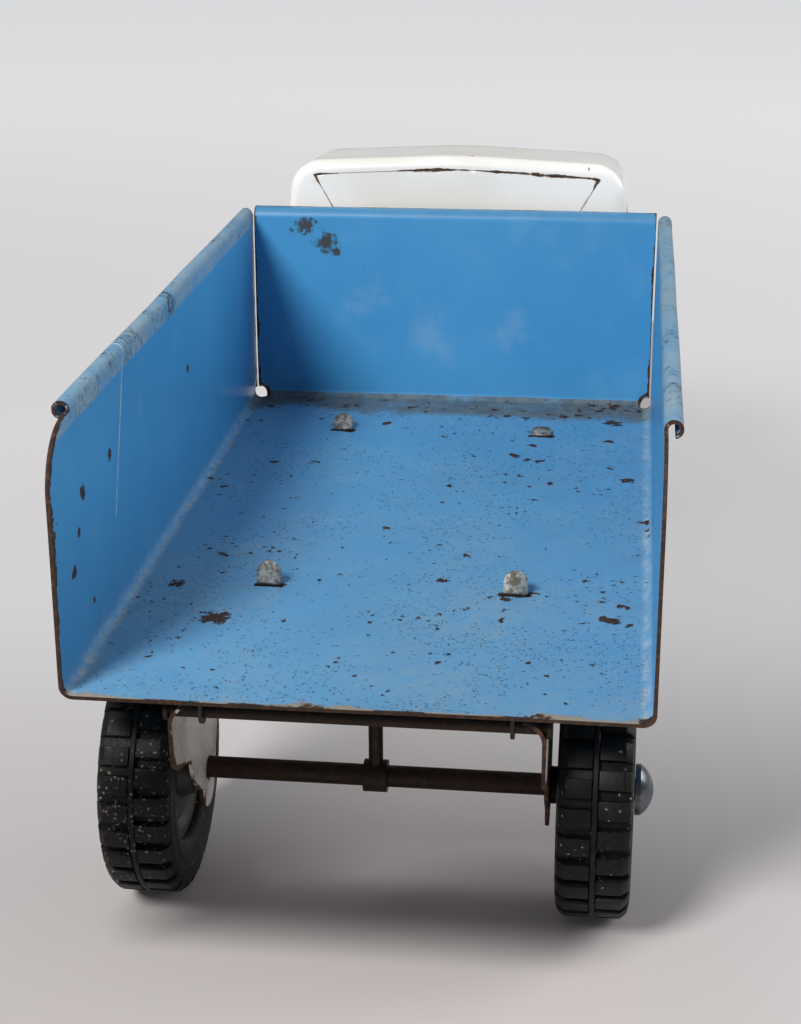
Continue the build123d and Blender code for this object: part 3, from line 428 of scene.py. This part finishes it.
def tread_block():
    """One tread block at the origin, top at z = 0, rising from the rib outwards to a sloping shoulder."""
    pitch = 2 * math.pi * TYRE_RADIUS / BLOCK_COUNT
    half, inner, outer = 0.32 * pitch, 0.9 * MM, TYRE_HALF - 0.35 * MM
    shape = bmesh.new()
    foot = -BLOCK_DEPTH - 1.2 * MM
    outline = (
        (inner, foot), (inner, 0), (outer - 2.2 * MM, -0.1 * MM), (outer - 0.5 * MM, -1.5 * MM),
        (outer, -2.9 * MM), (outer, foot),
    )
    ends = [[shape.verts.new((x, y, z)) for y, z in outline] for x in (-half, half)]
    shape.faces.new(ends[0])
    shape.faces.new(list(reversed(ends[1])))
    for i in range(len(outline)):
        j = (i + 1) % len(outline)
        shape.faces.new((ends[0][j], ends[0][i], ends[1][i], ends[1][j]))
    bmesh.ops.bevel(
        shape, geom=[e for e in shape.edges if max(v.co.z for v in e.verts) > foot / 2],
        offset=0.35 * MM, segments=2, profile=0.6, affect="EDGES",
    )
    bmesh.ops.recalc_face_normals(shape, faces=shape.faces)
    mesh = bpy.data.meshes.new("tread_block")
    shape.to_mesh(mesh)
    shape.free()
    block = bpy.data.objects.new("tread_block", mesh)
    bpy.context.scene.collection.objects.link(block)
    return block


def build_tread_tree():
    """Geometry nodes: blocks in two rows round a carcass, the second row turned by Phase of a pitch."""
    tree = bpy.data.node_groups.new("tyre_tread", "GeometryNodeTree")
    for title, kind, start in (
        ("Carcass", "NodeSocketGeometry", None), ("Block", "NodeSocketObject", None),
        ("Count", "NodeSocketInt", BLOCK_COUNT), ("Radius", "NodeSocketFloat", TYRE_RADIUS),
        ("Phase", "NodeSocketFloat", 0.3), ("Unevenness", "NodeSocketFloat", 0.05 * MM),
        ("Seed", "NodeSocketInt", 7), ("Material", "NodeSocketMaterial", None),
    ):
        socket = tree.interface.new_socket(name=title, in_out="INPUT", socket_type=kind)
        if start is not None:
            socket.default_value = start
    tree.interface.new_socket(name="Tyre", in_out="OUTPUT", socket_type="NodeSocketGeometry")
    given = tree.nodes.new("NodeGroupInput").outputs
    result = tree.nodes.new("NodeGroupOutput").inputs
    shape = new_node(tree, "GeometryNodeObjectInfo", {"Object": given["Block"]}).outputs["Geometry"]
    joined = new_node(tree, "GeometryNodeJoinGeometry")
    tree.links.new(given["Carcass"], joined.inputs[0])
    for row in (1.0, -1.0):
        ring = new_node(tree, "GeometryNodeMeshLine", {"Count": given["Count"], "Offset": (0, 0, 0)})
        index = new_node(tree, "GeometryNodeInputIndex").outputs[0]
        step = parted(tree, 2 * math.pi, given["Count"])
        place = plus(tree, index, 0.0 if row > 0 else given["Phase"])
        angle = times(tree, place, step)
        spread = new_node(tree, "FunctionNodeRandomValue", {"Seed": given["Seed"]}, data_type="FLOAT")
        sink = times(tree, spread.outputs["Value"], given["Unevenness"])
        reach = less(tree, given["Radius"], sink)
        across = times(tree, maths(tree, "SINE", angle), reach)
        above = times(tree, maths(tree, "COSINE", angle), reach)
        spot = new_node(tree, "ShaderNodeCombineXYZ", {"X": across, "Z": above}).outputs[0]
        moved = new_node(tree, "GeometryNodeSetPosition", {"Geometry": ring.outputs[0], "Position": spot})
        turn = new_node(tree, "ShaderNodeCombineXYZ", {"Y": angle}).outputs[0]
        rotation = new_node(tree, "FunctionNodeEulerToRotation", {0: turn}).outputs[0]
        placed = new_node(
            tree, "GeometryNodeInstanceOnPoints",
            {"Points": moved.outputs[0], "Instance": shape, "Rotation": rotation, "Scale": (1.0, row, 1.0)},
        )
        real = new_node(tree, "GeometryNodeRealizeInstances", {0: placed.outputs[0]})
        if row < 0:
            real = new_node(tree, "GeometryNodeFlipFaces", {0: real.outputs[0]})
        tree.links.new(real.outputs[0], joined.inputs[0])
    real = new_node(tree, "GeometryNodeRealizeInstances", {0: joined.outputs[0]})
    sockets = {"Geometry": real.outputs[0], "Material": given["Material"]}
    painted = new_node(tree, "GeometryNodeSetMaterial", sockets)
    tree.links.new(painted.outputs[0], result["Tyre"])
    return tree


def grown(tree, source, name, **values):
    """Runs a geometry nodes tree on a mesh with the named inputs and returns the result as a plain mesh."""
    carrier = bpy.data.objects.new(name, source)
    bpy.context.scene.collection.objects.link(carrier)
    modifier = carrier.modifiers.new("grow", "NODES")
    modifier.node_group = tree
    for socket in tree.interface.items_tree:
        if socket.in_out == "INPUT" and socket.name in values:
            modifier[socket.identifier] = values[socket.name]
    graph = bpy.context.evaluated_depsgraph_get()
    graph.update()
    made = bpy.data.meshes.new_from_object(carrier.evaluated_get(graph), depsgraph=graph)
    carrier.modifiers.remove(modifier)
    bpy.data.objects.remove(carrier)
    return made


# one half of the carcass's section, (y, radius) in millimetres from the bore out to the middle rib
HALF_SECTION = (
    (6.8, 20.02), (8.0, 20.4), (9.1, 21.6), (9.6, 23.0), (9.98, 25.0), (9.98, 26.6), (9.7, 27.0),
    (9.98, 27.4), (9.95, 30.0), (9.75, 31.3), (9.2, 32.2), (7.8, 32.8), (0.95, 32.9), (0.8, 33.2),
    (0.75, 34.6), (0.5, 34.8),
)
CARCASS = [*HALF_SECTION, *((-y, r) for y, r in reversed(HALF_SECTION))]
dusty_rubber, clean_rubber = make_rubber("dusty_rubber", 1.0), make_rubber("black_rubber", 0.25)
block = tread_block()
tread_tree = build_tread_tree()
for end in ("rear", "front"):
    for side in ("left", "right"):
        node = f"{end}_{side}_tyre"
        low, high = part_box(node)
        rubber = dusty_rubber if (end, side) == ("rear", "left") else clean_rubber
        made = grown(
            tread_tree, turned_about_y(node, CARCASS, 112), node,
            Block=block, Count=BLOCK_COUNT, Radius=TYRE_RADIUS - 0.12 * MM, Material=rubber,
        )
        turn = Matrix.Rotation(math.radians(5.0 if side == "left" else 1.5), 4, "Y")
        made.transform(Matrix.Translation((Vector(low) + Vector(high)) / 2) @ turn)
        made.shade_smooth()
        made.set_sharp_from_angle(angle=math.radians(32))
        tyre = bpy.data.objects.new(f"{node}_treaded", made)
        bpy.context.scene.collection.objects.link(tyre)
        dress(tyre, rubber, f"{end}_{side}_wheel", node)
bpy.data.objects.remove(block)


# ------------------------------------------------------------------ hubs
# Black moulded plastic wheels with a dished disc and a bored boss.


def make_hub_plastic():
    material, tree, shader = new_material("hub_plastic")
    place = place_of(tree)
    haze = clouds(tree, place, 120.0, 5.0)
    black, greyed = (0.016, 0.016, 0.017, 1), (0.05, 0.048, 0.044, 1)
    colour = blend_colours(tree, ramp(tree, haze, 0.4, 0.7), black, greyed)
    tree.links.new(colour, shader.inputs["Base Color"])
    tree.links.new(ramp(tree, haze, 0.3, 0.7, 0.35, 0.6), shader.inputs["Roughness"])
    return material


hub_plastic = make_hub_plastic()
for end in ("rear", "front"):
    finish_as(hub_plastic, f"{end}_left_hub", f"{end}_right_hub")


# ------------------------------------------------------------------ axle caps
# Domed push-on caps of plated sheet, one at each end of each axle; they keep the wheels on.


def make_plating(name, tint, tarnish):
    material, tree, shader = new_material(name)
    place = place_of(tree)
    haze = clouds(tree, place, 160.0, 6.0, 0.65)
    pits = speckle(tree, place, 700.0, 0.25, 0.25, 90.0)
    clean = blend_colours(tree, ramp(tree, haze, 0.42, 0.72), tint, tarnish)
    tree.links.new(blend_colours(tree, pits, clean, (0.07, 0.045, 0.03, 1)), shader.inputs["Base Color"])
    tree.links.new(ramp(tree, haze, 0.35, 0.75, 0.16, 0.42), shader.inputs["Roughness"])
    shader.inputs["Metallic"].default_value = 1.0
    return material


# painted reflection: the caps' plating is tinted far darker than plate, for the dark surroundings their domes
# reflect
cap_plating = make_plating("cap_plating", (0.13, 0.145, 0.165, 1), (0.07, 0.075, 0.08, 1))
finish_as(cap_plating, "rear_axle_caps", "front_axle_caps")


# ------------------------------------------------------------------ cab
# A drawn cab shell with its back panel let in, cream like the chassis, over a floor plate and a bench.
# Rust has crept along the roof's rear edge, the panel's seams and the pressed door lines.

cream_cab = make_cream_paint("cream_cab_paint", 0.26, 0.12)
for node in ("cab_shell", "cab_back_panel", "cab_floor", "seat_bench"):
    dress(sheet_copy(node, 6 * MM), cream_cab, "chassis", node)


# ------------------------------------------------------------------ front end
# Bonnet, wings and running boards are cream pressings; grille, lamps and bumper are plated.

for node in ("bonnet", "front_wing_left", "front_wing_right", "running_board_left", "running_board_right"):
    dress(sheet_copy(node, 6 * MM), cream_cab, "chassis", node)

dull_plating = make_plating("dull_plating", (0.55, 0.55, 0.54, 1), (0.36, 0.355, 0.345, 1))
finish_as(dull_plating, "radiator_grille", "front_bumper", "headlamp_shell_left", "headlamp_shell_right")


def make_lens():
    material, tree, shader = new_material("lamp_lens")
    place = place_of(tree)
    wave = {"Vector": place, "Scale": 180.0, "Distortion": 0.0}
    ribs = add_node(tree, "TexWave", wave, wave_type="BANDS", bands_direction="Y")
    tree.links.new(bump(tree, ribs.outputs["Fac"], 0.2 * MM, 0.6), shader.inputs["Normal"])
    shader.inputs["Base Color"].default_value = (0.86, 0.88, 0.87, 1)
    shader.inputs["Roughness"].default_value = 0.12
    shader.inputs["Transmission Weight"].default_value = 0.7
    return material


finish_as(make_lens(), "headlamp_lens_left", "headlamp_lens_right")


# ------------------------------------------------------------------ tray
# One sheet of 1 mm steel, folded up at both sides and the front, with its rims rolled outwards.
# It was sprayed sky blue. Loads have pitted the floor, and the paint has left every edge and rim.

# the tray's inner faces: floor, side walls and headboard, then its open end and the rims' undersides
FLOOR, WALL, HEAD = 75.5 * MM, 74.0 * MM, 53.0 * MM
TAIL, RIM = -211.0 * MM, 141.7 * MM


def build_worn_spot():
    """A ragged round mark: 1 inside Radius of Centre, fading out; Grain breaks up its outline."""
    tree, given, result = new_group(
        "worn_spot",
        {
            "Place": (0.0, 0.0, 0.0), "Centre": (0.0, 0.0, 0.0), "Radius": 0.004,
            "Grain": 500.0, "Ragged": 1.2, "Soft": 0.25,
        },
        {"Mask": "NodeSocketFloat"},
    )
    apart = add_node(tree, "VectorMath", {0: given["Place"], 1: given["Centre"]}, operation="DISTANCE")
    noisy = clouds(tree, given["Place"], given["Grain"], 4.0, 0.65)
    wobble = times(tree, less(tree, noisy, 0.5), given["Ragged"])
    share = plus(tree, parted(tree, apart.outputs["Value"], given["Radius"]), times(tree, wobble, 2.0))
    tree.links.new(ramp(tree, share, 1.0, less(tree, 1.0, given["Soft"])), result["Mask"])
    return tree


worn_spot = build_worn_spot()


def spots(tree, place, marks, grain, ragged, soft=0.25):
    """The union of several worn spots given as (x, y, z, radius) in millimetres."""
    masks = []
    for x, y, z, radius in marks:
        masks.append(use_group(tree, worn_spot, {
            "Place": place, "Centre": (x * MM, y * MM, z * MM), "Radius": radius * MM,
            "Grain": grain, "Ragged": ragged, "Soft": soft,
        })["Mask"])
    return most(tree, *masks)


def make_tray_paint():
    """Sky-blue gloss paint with pits, chips, grime along the front fold, scratches and dust."""
    material, tree, shader = new_material("tray_blue_paint")
    place = place_of(tree)
    xyz = add_node(tree, "SeparateXYZ", {"Vector": place}).outputs
    edge = edge_distance(tree)
    facing = add_node(tree, "NewGeometry").outputs["Normal"]
    normal = add_node(tree, "SeparateXYZ", {"Vector": facing}).outputs
    sideways = maths(tree, "ABSOLUTE", xyz["Y"])
    low_down = ramp(tree, xyz["Z"], FLOOR + 14.5 * MM, FLOOR + 8.5 * MM)
    flat_up = times(tree, ramp(tree, normal["Z"], 0.55, 0.95), low_down)
    on_head = times(
        tree, ramp(tree, xyz["X"], HEAD - 4 * MM, HEAD - 1.5 * MM),
        ramp(tree, xyz["Z"], FLOOR + 2.5 * MM, FLOOR + 6.5 * MM),
    )
    outside = ramp(tree, sideways, WALL - 1.2 * MM, WALL - 0.3 * MM)
    on_rim = times(tree, outside, ramp(tree, xyz["Z"], RIM - 2.2 * MM, RIM - 0.7 * MM))
    near_tail = ramp(tree, xyz["X"], TAIL + 10 * MM, TAIL + 1 * MM)

    tone = clouds(tree, place, 14.0, 5.0, 0.55)
    blue = blend_colours(tree, ramp(tree, tone, 0.3, 0.7), (0.052, 0.262, 0.520, 1), (0.068, 0.300, 0.570, 1))
    mottle = clouds(tree, place, 55.0, 5.0, 0.6)
    blue = blend_colours(tree, ramp(tree, mottle, 0.5, 0.8, 0.0, 0.35), blue, (0.150, 0.360, 0.560, 1))

    # the floor is dulled by dust and rubbing, most towards the open end
    scuffs = clouds(tree, place, 260.0, 7.0, 0.75)
    broad = clouds(tree, place, 22.0, 4.0, 0.55)
    chalk = times(tree, ramp(tree, scuffs, 0.30, 0.72), ramp(tree, broad, 0.25, 0.7))
    rubbed = plus(tree, 0.38, times(tree, ramp(tree, xyz["X"], -40 * MM, TAIL + 11 * MM), 0.28))
    chalk = times(tree, plus(tree, chalk, 0.35, clamp=True), times(tree, rubbed, flat_up))
    blue = blend_colours(tree, chalk, blue, (0.235, 0.345, 0.410, 1))

    # brown film, heaviest in the last centimetre and a half before the headboard
    ragged = plus(tree, broad, times(tree, scuffs, 0.6))
    ragged = times(tree, less(tree, ragged, 0.8), 34 * MM)
    to_front = plus(tree, less(tree, HEAD, xyz["X"]), ragged)
    band = times(tree, ramp(tree, to_front, 27 * MM, 11 * MM), ramp(tree, normal["Z"], 0.15, 0.5))
    side_band = times(tree, ramp(tree, less(tree, WALL, sideways), 16 * MM, 0.0), flat_up)
    weight = plus(tree, plus(tree, 0.15, times(tree, band, 0.74)), times(tree, side_band, 0.16))
    film = use_group(tree, grime, {"Place": place, "Weight": weight, "Scale": 60.0})["Mask"]
    film = times(tree, film, ramp(tree, xyz["Z"], FLOOR + 20.5 * MM, FLOOR + 2.5 * MM, 0.25, 1.0))
    ochre, brown = (0.120, 0.118, 0.070, 1), (0.075, 0.048, 0.022, 1)
    soil = blend_colours(tree, ramp(tree, scuffs, 0.42, 0.60), ochre, brown)
    dirty = blend_colours(tree, times(tree, film, 0.78), blue, soil)

    # pits: fine dark grains all over the floor, larger ones in patches, and a few flakes down to rust
    fine = speckle(tree, place, 950.0, 0.33, 1.05, 26.0)
    small = speckle(tree, place, 380.0, 0.25, 0.36, 34.0)
    large = speckle(tree, place, 150.0, 0.26, 0.30, 22.0)
    grains = times(tree, times(tree, fine, flat_up), 0.72)
    dirty = blend_colours(tree, grains, dirty, (0.030, 0.045, 0.060, 1))
    scatter = plus(tree, times(tree, flat_up, 0.93), 0.07)
    crumbs = speckle(tree, place, 230.0, 0.34, 1.0, 60.0)
    crumbs = times(tree, crumbs, band)
    many = most(tree, small, large, crumbs)
    pits = ramp(tree, times(tree, many, scatter), 0.3, 0.6)
    floor_marks = spots(
        tree, place,
        [(-158, 46, 76, 4.6), (-135, 62, 76, 2.6), (-10, -27, 76, 2.2), (-14, -32, 76, 1.5),
         (-15, -36, 76, 1.9), (-148, -62, 76, 3.0), (19, 37, 76, 3.0), (-31, -67, 76, 2.6),
         (-120, -55, 76, 1.6), (30, -60, 76, 3.4)],
        420.0, 1.9,
    )
    head_marks = spots(
        tree, place, [(53, 54, 140, 5.2), (53, 47, 134, 4.2), (53, 43, 131, 2.2)], 330.0, 1.7, 0.6
    )
    wall_marks = spots(
        tree, place,
        [(-183, 74, 120, 2.4), (-194, 74, 102, 2.0), (-155, 74, 121, 1.6), (-178, 74, 88, 1.3),
         (-188, 74, 111, 1.4), (-60, 74, 118, 1.5), (-120, -74, 126, 1.8)],
        330.0, 1.6,
    )

    # rolled rims: rubbed pale, with brown cracks across them
    squeeze = add_node(tree, "Mapping", {"Vector": place, "Scale": (1.0, 0.45, 0.45)})
    cracks = clouds(tree, squeeze.outputs[0], 900.0, 6.0, 0.75)
    patchy = clouds(tree, place, 70.0, 3.0)
    cracked = ramp(tree, plus(tree, cracks, times(tree, patchy, 0.5)), 0.86, 0.90)
    hair = add_node(tree, "Mapping", {"Vector": place, "Scale": (1.0, 0.16, 0.16)})
    hairs = clouds(tree, hair.outputs[0], 1500.0, 4.0, 0.7)
    crazed = ramp(tree, plus(tree, hairs, times(tree, patchy, 0.3)), 0.755, 0.80)
    cracked = times(tree, most(tree, cracked, times(tree, crazed, 0.85)), on_rim)
    rubbed_rim = times(tree, on_rim, ramp(tree, mottle, 0.30, 0.62, 0.35, 0.85))
    dirty = blend_colours(tree, rubbed_rim, dirty, (0.250, 0.350, 0.410, 1))

    # a long pale scratch down the left wall, a rubbed patch on the headboard, and paler lines along the
    # wall-floor folds, partly rubbed paint and partly a painted highlight
    slant = plus(tree, xyz["X"], times(tree, xyz["Z"], -0.37))
    waver = times(tree, less(tree, mottle, 0.5), 1.4 * MM)
    line = maths(tree, "ABSOLUTE", plus(tree, less(tree, slant, -189.5 * MM), waver))
    left_wall = ramp(tree, xyz["Y"], WALL - 1.6 * MM, WALL - 1.2 * MM)
    scratch = times(tree, ramp(tree, line, 0.62 * MM, 0.30 * MM), left_wall)
    scratch = times(tree, scratch, ramp(tree, xyz["Z"], FLOOR + 24.5 * MM, FLOOR + 28.5 * MM))
    scratch = times(tree, scratch, ramp(tree, scuffs, 0.36, 0.50))
    beside = ramp(tree, sideways, WALL - 3.5 * MM, WALL - 2 * MM)
    # the paler fold line is partly worn paint and partly a painted highlight on the bend
    fold_highlight_and_wear = times(tree, ramp(tree, xyz["Z"], FLOOR + 4 * MM, FLOOR + 1 * MM), beside)
    fold_highlight_and_wear = times(tree, fold_highlight_and_wear, ramp(tree, scuffs, 0.42, 0.66, 0.08, 0.55))
    smear = spots(
        tree, place, [(53, 8, 100, 12.0), (53, -22, 104, 10.0), (53, 32, 112, 9.0)], 70.0, 1.6, 0.95
    )
    pale = most(tree, scratch, fold_highlight_and_wear, times(tree, smear, 0.15))
    dirty = blend_colours(tree, pale, dirty, (0.46, 0.52, 0.55, 1))
    green, umber = (0.035, 0.085, 0.030, 1), (0.050, 0.035, 0.015, 1)
    stain = blend_colours(tree, ramp(tree, head_marks, 0.35, 0.75), green, umber)
    dirty = blend_colours(tree, times(tree, head_marks, 0.9), dirty, stain)

    # paint lost from the sheet's edges: least along the headboard's seams, most at the open end
    reach = plus(tree, 0.62, times(tree, near_tail, 0.85))
    reach = less(tree, reach, times(tree, on_head, 0.12))
    chips = use_group(
        tree, edge_chips, {"Place": place, "Edge": edge, "Reach": reach, "Grain": 420.0, "Stray": 0.45}
    )
    frayed = times(tree, less(tree, scuffs, 0.5), 1.1)
    margin = plus(tree, plus(tree, 0.34, times(tree, near_tail, 0.42)), frayed)
    cut = ramp(tree, less(tree, margin, edge), 0.0, 0.12)
    worn = most(tree, floor_marks, wall_marks, cracked, cut)
    bare = most(tree, chips["Bare"], pits, worn)
    beige = ramp(tree, plus(tree, patchy, times(tree, scuffs, 0.4)), 0.66, 0.74)
    rim_share = times(tree, chips["Rim"], plus(tree, 0.12, times(tree, times(tree, near_tail, flat_up), 0.5)))
    primer = blend_colours(tree, rim_share, dirty, (0.26, 0.225, 0.175, 1))
    beige = times(tree, beige, times(tree, near_tail, flat_up))
    old_rust = blend_colours(tree, 0.55, rust_colour(tree, place), (0.022, 0.014, 0.010, 1))
    under = blend_colours(tree, beige, old_rust, (0.30, 0.265, 0.21, 1))
    colour = blend_colours(tree, bare, primer, under)
    tree.links.new(colour, shader.inputs["Base Color"])
    dull = most(tree, bare, film, chalk, rubbed_rim)
    tree.links.new(plus(tree, 0.30, times(tree, dull, 0.45)), shader.inputs["Roughness"])
    orange_peel = clouds(tree, place, 260.0, 2.0)
    skin = bump(tree, orange_peel, 0.03 * MM, 0.5)
    tree.links.new(bump(tree, less(tree, 1.0, bare), 0.14 * MM, 0.9, skin), shader.inputs["Normal"])
    shader.inputs["Specular IOR Level"].default_value = 0.35
    return material


def dent(piece, depth, size):
    """Leaves a pressed sheet a little wavy, as handling does, and no larger overall."""
    for vertex in piece.data.vertices:
        moved = vertex.co + noise.noise_vector(vertex.co / size) * depth
        vertex.co = [min(max(value, low), high) for value, low, high in zip(moved, cad_low, cad_high)]
    piece.data.update()


tray_paint = make_tray_paint()
tray = sheet_copy("tipper_tray", 2.6 * MM)
dent(tray, 0.35 * MM, 70 * MM)
dress(tray, tray_paint, "tipper", "tipper_tray")


# ------------------------------------------------------------------ tray bearer
# A ladder of the same sheet under the tray. Its four tabs come up through slots in the floor and are
# bent over; handling has kept the tabs pale, and below the floor the bearer is painted near black as
# the shade under the tray.


def make_tab_steel():
    material, tree, shader = new_material("bearer_steel")
    place = place_of(tree)
    height = add_node(tree, "SeparateXYZ", {"Vector": place}).outputs["Z"]
    cloud = clouds(tree, place, 420.0, 6.0, 0.7)
    pale = blend_colours(tree, ramp(tree, cloud, 0.40, 0.62), (0.34, 0.36, 0.35, 1), (0.10, 0.09, 0.07, 1))
    flecks = speckle(tree, place, 1300.0, 0.3, 0.6, 200.0)
    pale = blend_colours(tree, times(tree, flecks, 0.7), pale, rust_colour(tree, place))
    rim = clouds(tree, place, 800.0, 3.0)
    level = plus(tree, height, times(tree, less(tree, rim, 0.5), 1.6 * MM))
    share = ramp(tree, level, FLOOR + 0.1 * MM, FLOOR + 1.1 * MM)
    # painted shade: below the floor top the bearer is near black, for the shade under the tray
    colour = blend_colours(tree, share, (0.006, 0.0045, 0.0035, 1), pale)
    tree.links.new(colour, shader.inputs["Base Color"])
    tree.links.new(ramp(tree, cloud, 0.3, 0.7, 0.40, 0.70), shader.inputs["Roughness"])
    tree.links.new(bump(tree, cloud, 0.08 * MM, 0.5), shader.inputs["Normal"])
    tree.links.new(times(tree, share, 0.35), shader.inputs["Metallic"])
    return material


bearer_steel = make_tab_steel()
dress(sheet_copy("tray_bearer", 12 * MM), bearer_steel, "tipper", "tray_bearer")


# ------------------------------------------------------------------ floor, lights and camera
# A pale studio sweep that glows near the truck and far off as painted light, under soft light from the upper
# left, seen from behind and above.


def make_floor_paper():
    """Pale matt sweep with painted light: it glows from the truck's tail forwards, to the truck's right and
    far off, and its base colour is darker from the tail forwards and far off.
    """
    material, tree, shader = new_material("floor_paper")
    xyz = add_node(tree, "SeparateXYZ", {"Vector": place_of(tree)}).outputs
    # painted light: aside is a glow on the ground right of the truck, where the key light's shadow falls
    along, aside = xyz["X"], ramp(tree, xyz["Y"], -0.20, -0.08, 0.14, 0.0)
    painted_glow_under_truck = ramp(tree, along, -0.20, 0.06)
    painted_glow_far = most(tree, ramp(tree, along, 0.10, 1.40), ramp(tree, along, -1.10, -2.20))
    paper = blend_colours(tree, painted_glow_under_truck, (0.53, 0.492, 0.490, 1), (0.285, 0.272, 0.274, 1))
    tree.links.new(blend_colours(tree, painted_glow_far, paper, (0.30, 0.30, 0.305, 1)), shader.inputs["Base Color"])
    light = blend_colours(tree, painted_glow_far, (0.95, 0.93, 0.94, 1), (0.97, 0.985, 1.0, 1))
    tree.links.new(light, shader.inputs["Emission Color"])
    painted_glow_sum = plus(tree, times(tree, painted_glow_under_truck, 0.44), times(tree, painted_glow_far, 0.17))
    strength = most(tree, painted_glow_sum, aside)
    tree.links.new(strength, shader.inputs["Emission Strength"])
    shader.inputs["Roughness"].default_value = 0.9
    shader.inputs["Specular IOR Level"].default_value = 0.1
    return material


bpy.ops.mesh.primitive_plane_add(size=60, location=(0, 0, 0))
floor = bpy.context.object
floor.name = "studio_floor"
floor.data.materials.append(make_floor_paper())


def soft_light(name, where, aim, size, watts, colour=(1, 1, 1)):
    data = bpy.data.lights.new(name, "AREA")
    data.shape, data.size, data.energy, data.color = "DISK", size, watts, colour
    lamp = bpy.data.objects.new(name, data)
    lamp.location = where
    lamp.rotation_mode = "QUATERNION"
    lamp.rotation_quaternion = (Vector(aim) - Vector(where)).to_track_quat("-Z", "Y")
    bpy.context.scene.collection.objects.link(lamp)


soft_light("key_light", (-1.07, 0.54, 1.04), (-0.05, 0.0, 0.08), 0.45, 23.0, (1.0, 0.99, 0.97))
soft_light("side_light", (0.45, -1.25, 0.75), (-0.05, 0.0, 0.08), 0.9, 11.0)

# a narrow black flag keeps the key light off the ground and the wheels under the tray
flag_mesh = bpy.data.meshes.new("light_flag")
flag_mesh.from_pydata(
    [(-0.235, -0.035, 0.045), (-0.235, 0.085, 0.045), (-0.235, 0.085, 0.097), (-0.235, -0.035, 0.097)],
    [], [(0, 1, 2, 3)],
)
flag = bpy.data.objects.new("light_flag", flag_mesh)
bpy.context.scene.collection.objects.link(flag)
flag.visible_camera = False
flag.visible_glossy = False
black = bpy.data.materials.new("flag_cloth")
black.use_nodes = True
black.node_tree.nodes["Principled BSDF"].inputs["Base Color"].default_value = (0.01, 0.01, 0.01, 1)
flag.data.materials.append(black)

scene = bpy.context.scene
world = bpy.data.worlds.new("studio_air")
world.use_nodes = True
world.node_tree.nodes["Background"].inputs["Color"].default_value = (0.93, 0.96, 1.0, 1)
world.node_tree.nodes["Background"].inputs["Strength"].default_value = 0.26
scene.world = world
scene.view_settings.view_transform = "Standard"

camera_data = bpy.data.cameras.new("camera")
camera_data.lens = 68.0
camera_data.sensor_width = 36.0
camera_data.clip_start, camera_data.clip_end = 0.01, 50.0
camera = bpy.data.objects.new("camera", camera_data)
place, down, aside, roll = Vector((-0.6397, -0.0636, 0.2892)), 20.41, 6.85, 0.22
camera.matrix_world = (
    Matrix.Translation(place)
    @ Matrix.Rotation(math.radians(aside - 90), 4, "Z")
    @ Matrix.Rotation(math.radians(90 - down), 4, "X")
    @ Matrix.Rotation(math.radians(-roll), 4, "Z")
)
scene.collection.objects.link(camera)
scene.camera = camera
